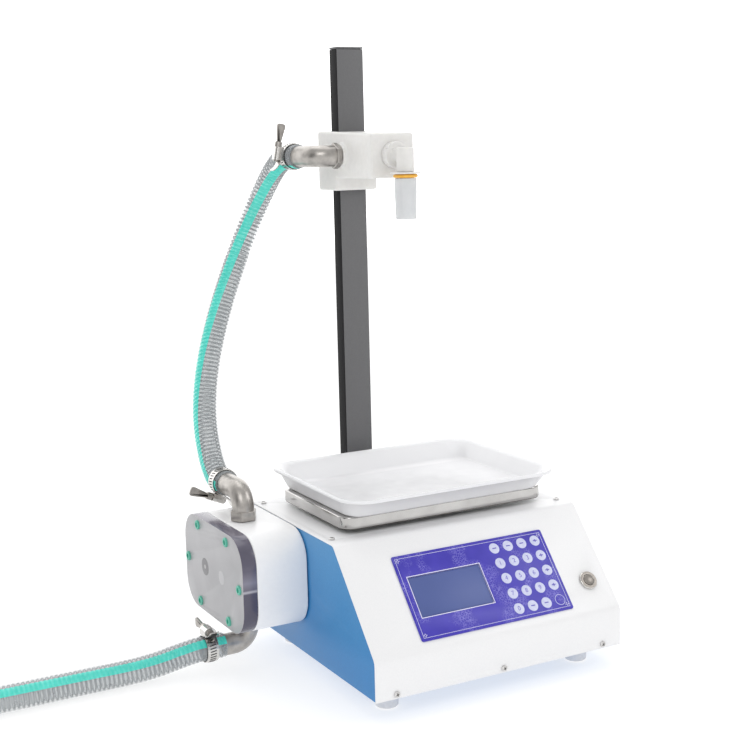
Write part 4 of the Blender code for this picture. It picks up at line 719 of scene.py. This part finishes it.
def wired_hose(path, up, turn, first, stripe):
    """The hose's ribbed wall with its stripe, and the wire coil inside it."""
    frames = frames_along(path, up, turn, first)
    step = (path[1] - path[0]).length
    bm = bmesh.new()
    skins = []
    for inside in (False, True):
        rings = []
        for i, place in enumerate(frames):
            ring = []
            for k in range(SIDES):
                angle = math.tau * k / SIDES
                rib = 0.5 - 0.5 * math.cos(math.tau * (i * step / PITCH) - angle - turn * i / (len(path) - 1))
                radius = HOSE - WALL if inside else HOSE - RIB * rib
                spoke = Vector((radius * math.cos(angle), radius * math.sin(angle), 0))
                ring.append(bm.verts.new(place @ spoke))
            rings.append(ring)
        for i, (ring, after) in enumerate(zip(rings, rings[1:])):
            for k in range(SIDES):
                m = (k + 1) % SIDES
                corners = (ring[k], ring[m], after[m], after[k])
                face = bm.faces.new(corners[::-1] if inside else corners)
                if not inside and k < stripe:
                    face.material_index = 1
        skins.append(rings)
    for end in (0, -1):
        for k in range(SIDES):
            m = (k + 1) % SIDES
            corners = (skins[0][end][k], skins[1][end][k], skins[1][end][m], skins[0][end][m])
            bm.faces.new(corners if end == 0 else corners[::-1])
    turns = step * (len(path) - 1) / PITCH
    steps = int(turns * WIRE_STEPS)
    coil = []
    for i in range(steps + 1):
        share = i / steps
        along = share * (len(path) - 1)
        k = min(int(along), len(path) - 2)
        place = frames[k].lerp(frames[k + 1], along - k)
        angle = math.tau * turns * share - turn * share
        spoke = Vector((math.cos(angle), math.sin(angle), 0)) * (HOSE - WALL / 2)
        coil.append(place @ spoke)
    wire = frames_along(coil, up, 0)
    rings = []
    for place in wire[1:-1]:
        angles = [math.tau * k / WIRE_SIDES for k in range(WIRE_SIDES)]
        corners = [Vector((math.cos(a) * WIRE, math.sin(a) * WIRE, 0)) for a in angles]
        rings.append([bm.verts.new(place @ corner) for corner in corners])
    for ring, after in zip(rings, rings[1:]):
        for k in range(WIRE_SIDES):
            m = (k + 1) % WIRE_SIDES
            bm.faces.new((ring[k], ring[m], after[m], after[k])).material_index = 2
    bm.faces.new(rings[0][::-1]).material_index = 2
    bm.faces.new(rings[-1]).material_index = 2
    return bm


clear_wall = finish("clear_wall", (0.66, 0.70, 0.71), (0.58, 0.62, 0.64), 120, (0.12, 0.22))
shader = clear_wall.node_tree.nodes["Principled BSDF"]
shader.inputs["Alpha"].default_value = 0.36
teal_stripe = finish("teal_stripe", (0.09, 0.82, 0.69), (0.07, 0.72, 0.60), 120, (0.18, 0.28))
teal_stripe.node_tree.nodes["Principled BSDF"].inputs["Alpha"].default_value = 0.86
coil_wire = finish("coil_wire", (0.34, 0.34, 0.35), (0.16, 0.16, 0.17), 700, (0.2, 0.35), 0.0, 1.0)
hose_finishes = [clear_wall, teal_stripe, coil_wire]


delivery_path = centre_line(DELIVERY, PITCH / 4)
delivery = piece(
    "delivery", wired_hose(delivery_path, (0, 0, 1), math.radians(115), math.radians(-125), 5), hose_finishes,
    "clear_hose", None, "delivery_hose", smooth=80,
)
suction_path = centre_line(SUCTION, PITCH / 4)
suction = piece(
    "suction", wired_hose(suction_path, (0, 0, 1), math.radians(30), math.radians(-68), 4), hose_finishes,
    "clear_hose", "base", "suction_hose", smooth=80,
)
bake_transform(delivery)

# ---- hose clamps: worm-drive bands with wing screws ---------------------------------------------
# A stainless band with stamped slots goes once round the hose and through a pressed housing. The
# worm in the housing pulls it tight. Its screw has a flat wing for the fingers.
BAND, BAND_WIDE, BAND_THICK = 13.3 * MM, 12 * MM, 0.9 * MM
HOUSING = (14 * MM, 12 * MM, 8.6 * MM)
WORM = 3 * MM
SLOTS, SLOTS_FROM, SLOTS_SPAN, SLOTS_LEAN = 26, 115, 310, 8
CURL, CURL_TURN, CURL_STEPS = 18 * MM, 0.3 * math.pi, 12
# The slots are near-black blocks on the band: their colour is painted shade standing in for the open slots.
slot_painted_shade = finish("slot_painted_shade", (0.05, 0.048, 0.045), (0.03, 0.03, 0.03), 500, (0.5, 0.6))


def band_strip(outline, wide):
    """A strip that follows an outline of (x, z) pairs, as thick as the band."""
    bm = bmesh.new()
    row = [bm.verts.new((x, -wide / 2, z)) for x, z in outline]
    edges = [bm.edges.new(pair) for pair in zip(row, row[1:])]
    made = bmesh.ops.extrude_edge_only(bm, edges=edges)["geom"]
    bmesh.ops.translate(bm, verts=only(bmesh.types.BMVert, made), vec=(0, wide, 0))
    bmesh.ops.recalc_face_normals(bm, faces=bm.faces)
    bmesh.ops.solidify(bm, geom=bm.faces[:], thickness=BAND_THICK)
    bmesh.ops.recalc_face_normals(bm, faces=bm.faces)
    return bm


def painted_slot_shade(bm, size, place):
    """A dark block of painted shade that stands for a stamped slot, added to a clamp's band."""
    mark = bmesh.ops.create_cube(bm, size=1.0)["verts"]
    bmesh.ops.transform(bm, matrix=place @ Matrix.Diagonal((*size, 1)), verts=mark)
    for face in {f for v in mark for f in v.link_faces}:
        face.material_index = 1


def worm_clamp():
    """Band, slots, housing and tail in the clamp's own frame: axis y, housing z, screw x."""
    bm = bmesh.new()
    outer = BAND + BAND_THICK
    ring = bmesh.ops.create_circle(bm, segments=96, radius=BAND)["verts"]
    edges = bm.edges[:]
    bmesh.ops.rotate(bm, verts=ring, cent=(0, 0, 0), matrix=Matrix.Rotation(math.pi / 2, 3, "X"))
    bmesh.ops.translate(bm, verts=ring, vec=(0, -BAND_WIDE / 2, 0))
    made = bmesh.ops.extrude_edge_only(bm, edges=edges)["geom"]
    bmesh.ops.translate(bm, verts=only(bmesh.types.BMVert, made), vec=(0, BAND_WIDE, 0))
    bmesh.ops.recalc_face_normals(bm, faces=bm.faces)
    outer_wall = bmesh.ops.duplicate(bm, geom=bm.faces[:])["geom"]
    for v in only(bmesh.types.BMVert, outer_wall):
        v.co.x *= outer / BAND
        v.co.z *= outer / BAND
    borders = [e for e in bm.edges if len(e.link_faces) == 1]
    for sign in (-1, 1):
        loop = [e for e in borders if all(v.co.y * sign > 0 for v in e.verts)]
        bmesh.ops.bridge_loops(bm, edges=loop)
    bmesh.ops.recalc_face_normals(bm, faces=bm.faces)
    for k in range(SLOTS):
        angle = math.radians(SLOTS_FROM + SLOTS_SPAN * k / (SLOTS - 1))
        lean = Matrix.Rotation(math.radians(SLOTS_LEAN), 4, "Z")
        spot = Matrix.Rotation(math.pi / 2 - angle, 4, "Y") @ Matrix.Translation((0, 0, outer)) @ lean
        painted_slot_shade(bm, (1.1 * MM, 6.4 * MM, 0.3 * MM), spot)
    length, width, height = HOUSING
    case = bmesh.ops.create_cube(bm, size=1.0)["verts"]
    middle = Matrix.Translation((0, 0, outer + height / 2 - 0.2 * MM))
    size = Matrix.Diagonal((length, width, height - 0.4 * MM, 1))
    bmesh.ops.transform(bm, matrix=middle @ size, verts=case)
    top_edges = [
        e for e in bm.edges
        if all(v in case for v in e.verts) and all(v.co.z > outer + height / 2 for v in e.verts)
        and abs(e.verts[0].co.x - e.verts[1].co.x) > length / 2
    ]
    rounded(bm, top_edges, 4 * MM, 7)
    arc = []
    for k in range(CURL_STEPS + 1):
        angle = -math.pi / 2 - CURL_TURN * k / CURL_STEPS
        reach = CURL - 0.4 * MM
        arc.append((-length / 2 + 2 * MM + reach * math.cos(angle), outer + CURL + reach * math.sin(angle)))
    tail = band_strip(arc, BAND_WIDE - 2.4 * MM)
    spare = bpy.data.meshes.new("tail")
    tail.to_mesh(spare)
    tail.free()
    bm.from_mesh(spare)
    bpy.data.meshes.remove(spare)
    for k in range(2, CURL_STEPS, 2):
        x, z = arc[k]
        angle = -math.pi / 2 - CURL_TURN * k / CURL_STEPS
        spot = Matrix.Translation((x, 0, z)) @ Matrix.Rotation(-angle - math.pi / 2, 4, "Y")
        painted_slot_shade(bm, (1.1 * MM, 6.0 * MM, 1.7 * MM), spot)
    return bm


WING, WING_ROOT = (21 * MM, 2 * MM, 10.6 * MM), 0.42


def wing_screw():
    """The worm's round shank, its hub and the flat wing."""
    bm = bmesh.new()
    half_length = HOUSING[0] / 2
    axis_z = BAND + BAND_THICK + HOUSING[2] / 2
    root = half_length + 4 * MM
    shank = (WORM, -half_length - 2 * MM, root)
    hub = (WORM + 0.9 * MM, half_length + 0.4 * MM, root + 1.5 * MM)
    for radius, start, end in (shank, hub):
        ring = bmesh.ops.create_circle(bm, cap_ends=True, segments=28, radius=radius)["verts"]
        made = bmesh.ops.extrude_face_region(bm, geom=[ring[0].link_faces[0]])["geom"]
        fresh = only(bmesh.types.BMVert, made)
        bmesh.ops.translate(bm, verts=fresh, vec=(0, 0, end - start))
        turn = Matrix.Rotation(math.pi / 2, 4, "Y")
        turn.translation = (start, 0, axis_z)
        bmesh.ops.transform(bm, matrix=turn, verts=ring + fresh)
    wing = bmesh.ops.create_cube(bm, size=1.0)["verts"]
    middle = Matrix.Translation((root + WING[0] / 2, 0, axis_z))
    bmesh.ops.transform(bm, matrix=middle @ Matrix.Diagonal((*WING, 1)), verts=wing)
    for v in wing:
        if v.co.x < root + 5 * MM:
            v.co.z = axis_z + (v.co.z - axis_z) * WING_ROOT
    edges = [e for e in bm.edges if all(v in wing for v in e.verts)]
    upright = [e for e in edges if abs(e.verts[0].co.y - e.verts[1].co.y) > MM]
    rounded(bm, upright, 3.4 * MM, 6)
    bmesh.ops.recalc_face_normals(bm, faces=bm.faces)
    return bm


def clamp_at(name, place, ring_body, screw_body, node):
    """A clamp's two pieces in their place: the band with its housing, and the wing screw."""
    bm = worm_clamp()
    bmesh.ops.transform(bm, matrix=place, verts=bm.verts)
    ring = piece(name, bm, [bright_steel, slot_painted_shade], "stainless_steel", ring_body, node)
    bm = wing_screw()
    bmesh.ops.transform(bm, matrix=place, verts=bm.verts)
    screw = piece(name + "_wing", bm, cast_steel, "stainless_steel", screw_body, node + "_screw")
    return [ring, screw]


PAST_OUTLET, PAST_INLET, PAST_TOP = 11 * MM, 27 * MM, 41.5 * MM
mouth_y = PUMP_Y + BEND + OUTLET_TAIL
rise = NUT + COLLAR + BEND
outlet_clamp = clamp_at(
    "outlet_band",
    facing((-0.92, 0, 0.39), (-0.39, 0, -0.92), (PORT_X, mouth_y + PAST_OUTLET, pump_high.z + rise)),
    "base", "outlet_clamp_screw", "outlet_clamp",
)
inlet_clamp = clamp_at(
    "inlet_band", facing((0, 1, 0), (0, 0, 1), (PORT_X - BEND - PAST_INLET, PUMP_Y, pump_low.z - rise)),
    "base", "inlet_clamp_screw", "inlet_clamp",
)
top_x = block_low.x - THIN_NUT - COLLAR - BEND
carriage_clamp = clamp_at(
    "carriage_band", facing((0.2, 0, 0.98), (-0.98, 0, 0.2), (top_x, port_y + BEND + PAST_TOP, port_z)),
    "carriage", "carriage_clamp_screw", "carriage_clamp",
)

# ---- column: painted steel tube on a bracket ----------------------------------------------------
# A flat rectangular tube, powder coated dark grey with a fine texture, closed by a cap on top.
# A bent stainless saddle bolts it to the back of the base.
column_grey = finish(
    "column_grey", (0.150, 0.150, 0.154), (0.115, 0.115, 0.119), 1500, (0.45, 0.6), 0.06 * MM,
)
brushed_steel = finish(
    "brushed_steel", (0.58, 0.57, 0.55), (0.46, 0.45, 0.44), 220, (0.25, 0.38), 0.0, 1.0, (1, 1, 12),
)
# A near-black copy of the grey coat, with less shine: painted shade for the tube's left and right faces.
column_painted_shade_side = finish(
    "column_painted_shade_side", (0.012, 0.012, 0.013), (0.006, 0.006, 0.007), 1500, (0.55, 0.7), 0.06 * MM,
)
column_painted_shade_side.node_tree.nodes["Principled BSDF"].inputs["Specular IOR Level"].default_value = 0.15
# The faces that look left and right take the near-black copy, which is painted shade; the front and back keep
# the lit grey.
tube = copied("column", 0.8 * MM, 3)
for face in tube.faces:
    if abs(face.normal.x) > 0.7:
        face.material_index = 1
piece("column_tube", tube, [column_grey, column_painted_shade_side], "dark_paint", "base", "column")
piece("column_lid", copied("column_cap", 0.6 * MM, 3), column_grey, "dark_paint", "base", "column_cap")
saddle = copied("column_bracket", 0.6 * MM, 3)
piece("column_saddle", saddle, brushed_steel, "stainless_steel", "base", "column_bracket")

# ---- nozzle carriage: milled block, lock knob, nozzle -------------------------------------------
# The block is milled from white plastic that lets some light through. It slides on the column,
# and a knob locks it. The nozzle is a plastic bend with a flange, an orange ring and a clear tip.
milky = finish("milky_plastic", (0.80, 0.79, 0.77), (0.76, 0.75, 0.73), 180, (0.30, 0.42), 0.02 * MM)
shader = milky.node_tree.nodes["Principled BSDF"]
shader.inputs["Subsurface Weight"].default_value = 0.4
shader.inputs["Subsurface Radius"].default_value = (0.02, 0.02, 0.018)
block = copied("carriage_block", 2.4 * MM, 5)
piece("slide_block", block, milky, "white_plastic", "carriage", "carriage_block")
piece("lock_handle", copied("lock_knob", 0.9 * MM, 3), black_plastic, "dark_rubber", "lock_knob", "lock_knob")

nozzle_low, nozzle_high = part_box("nozzle_tip")
axis_x, axis_y = (nozzle_low.x + nozzle_high.x) / 2, (nozzle_low.y + nozzle_high.y) / 2


def spun(profile, x, y, steps=64):
    """A round solid about an upright axis from its closed outline of (radius, height)."""
    bm = bmesh.new()
    row = [bm.verts.new((x + r, y, z)) for r, z in profile]
    edges = [bm.edges.new((row[i], row[(i + 1) % len(row)])) for i in range(len(row))]
    bmesh.ops.spin(
        bm, geom=row + edges, cent=(x, y, 0), axis=(0, 0, 1), angle=math.tau, steps=steps, use_merge=True,
    )
    bmesh.ops.remove_doubles(bm, verts=bm.verts, dist=0.005 * MM)
    bmesh.ops.recalc_face_normals(bm, faces=bm.faces)
    return bm


piece("nozzle_bend", copied("nozzle_elbow", 1.2 * MM, 4), milky, "white_plastic", "carriage", "nozzle_elbow")
low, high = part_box("nozzle_flange")
piece(
    "nozzle_disc",
    spun([
        (8.0 * MM, low.z), (15.2 * MM, low.z), (15.8 * MM, low.z + 0.5 * MM),
        (15.8 * MM, high.z - 0.5 * MM), (15.2 * MM, high.z), (8.0 * MM, high.z),
    ], axis_x, axis_y),
    milky, "white_plastic", "carriage", "nozzle_flange",
)
low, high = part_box("nozzle_seal")
middle, cord_radius = (low.z + high.z) / 2, (high.z - low.z) / 2
ring_radius = (high.x - low.x) / 2 - cord_radius
orange_rubber = finish("orange_rubber", (0.92, 0.50, 0.06), (0.82, 0.40, 0.04), 300, (0.35, 0.5))
piece(
    "nozzle_ring",
    spun([
        (ring_radius + cord_radius * math.cos(a), middle + cord_radius * math.sin(a))
        for a in [math.tau * k / 20 for k in range(20)]
    ], axis_x, axis_y),
    orange_rubber, "orange_seal", "carriage", "nozzle_seal",
)
frosted_tip = finish("frosted_tip", (0.90, 0.91, 0.92), (0.85, 0.87, 0.88), 90, (0.25, 0.40))
shader = frosted_tip.node_tree.nodes["Principled BSDF"]
shader.inputs["Transmission Weight"].default_value = 0.35
shader.inputs["Subsurface Weight"].default_value = 0.3
shader.inputs["Subsurface Radius"].default_value = (0.01, 0.01, 0.01)
tip_top, tip_end = 11.2 * MM, 10.4 * MM
piece(
    "nozzle_mouth",
    spun([
        (7.6 * MM, nozzle_low.z), (tip_end - 0.4 * MM, nozzle_low.z), (tip_end, nozzle_low.z + 0.4 * MM),
        (tip_top, nozzle_high.z - 14 * MM), (tip_top, nozzle_high.z - 0.5 * MM),
        (tip_top - 0.5 * MM, nozzle_high.z), (7.6 * MM, nozzle_high.z),
    ], axis_x, axis_y),
    frosted_tip, "tip_plastic", "carriage", "nozzle_tip",
)

# ---- weighing platform and tray -----------------------------------------------------------------
# The platform is a pressed pan of polished stainless steel over the load cell. The tray that
# stands on it is moulded in glossy white plastic, with a sloping wall and a rolled rim.
mirror_steel = finish("mirror_steel", (0.56, 0.55, 0.54), (0.44, 0.43, 0.42), 30, (0.08, 0.18), 0.0, 1.0)
pan = copied("weigh_platform", 1.6 * MM, 5)
piece("platform_pan", pan, mirror_steel, "stainless_steel", "weigh_platform", "weigh_platform")

tray_white = finish("tray_white", (0.845, 0.845, 0.86), (0.835, 0.835, 0.852), 60, (0.18, 0.28), 0.01 * MM)
AS_IT_IS = 400.0
piece("tray_shell", copied("tray", 0.0, 1, AS_IT_IS), tray_white, "tray_plastic", "tray", "tray")
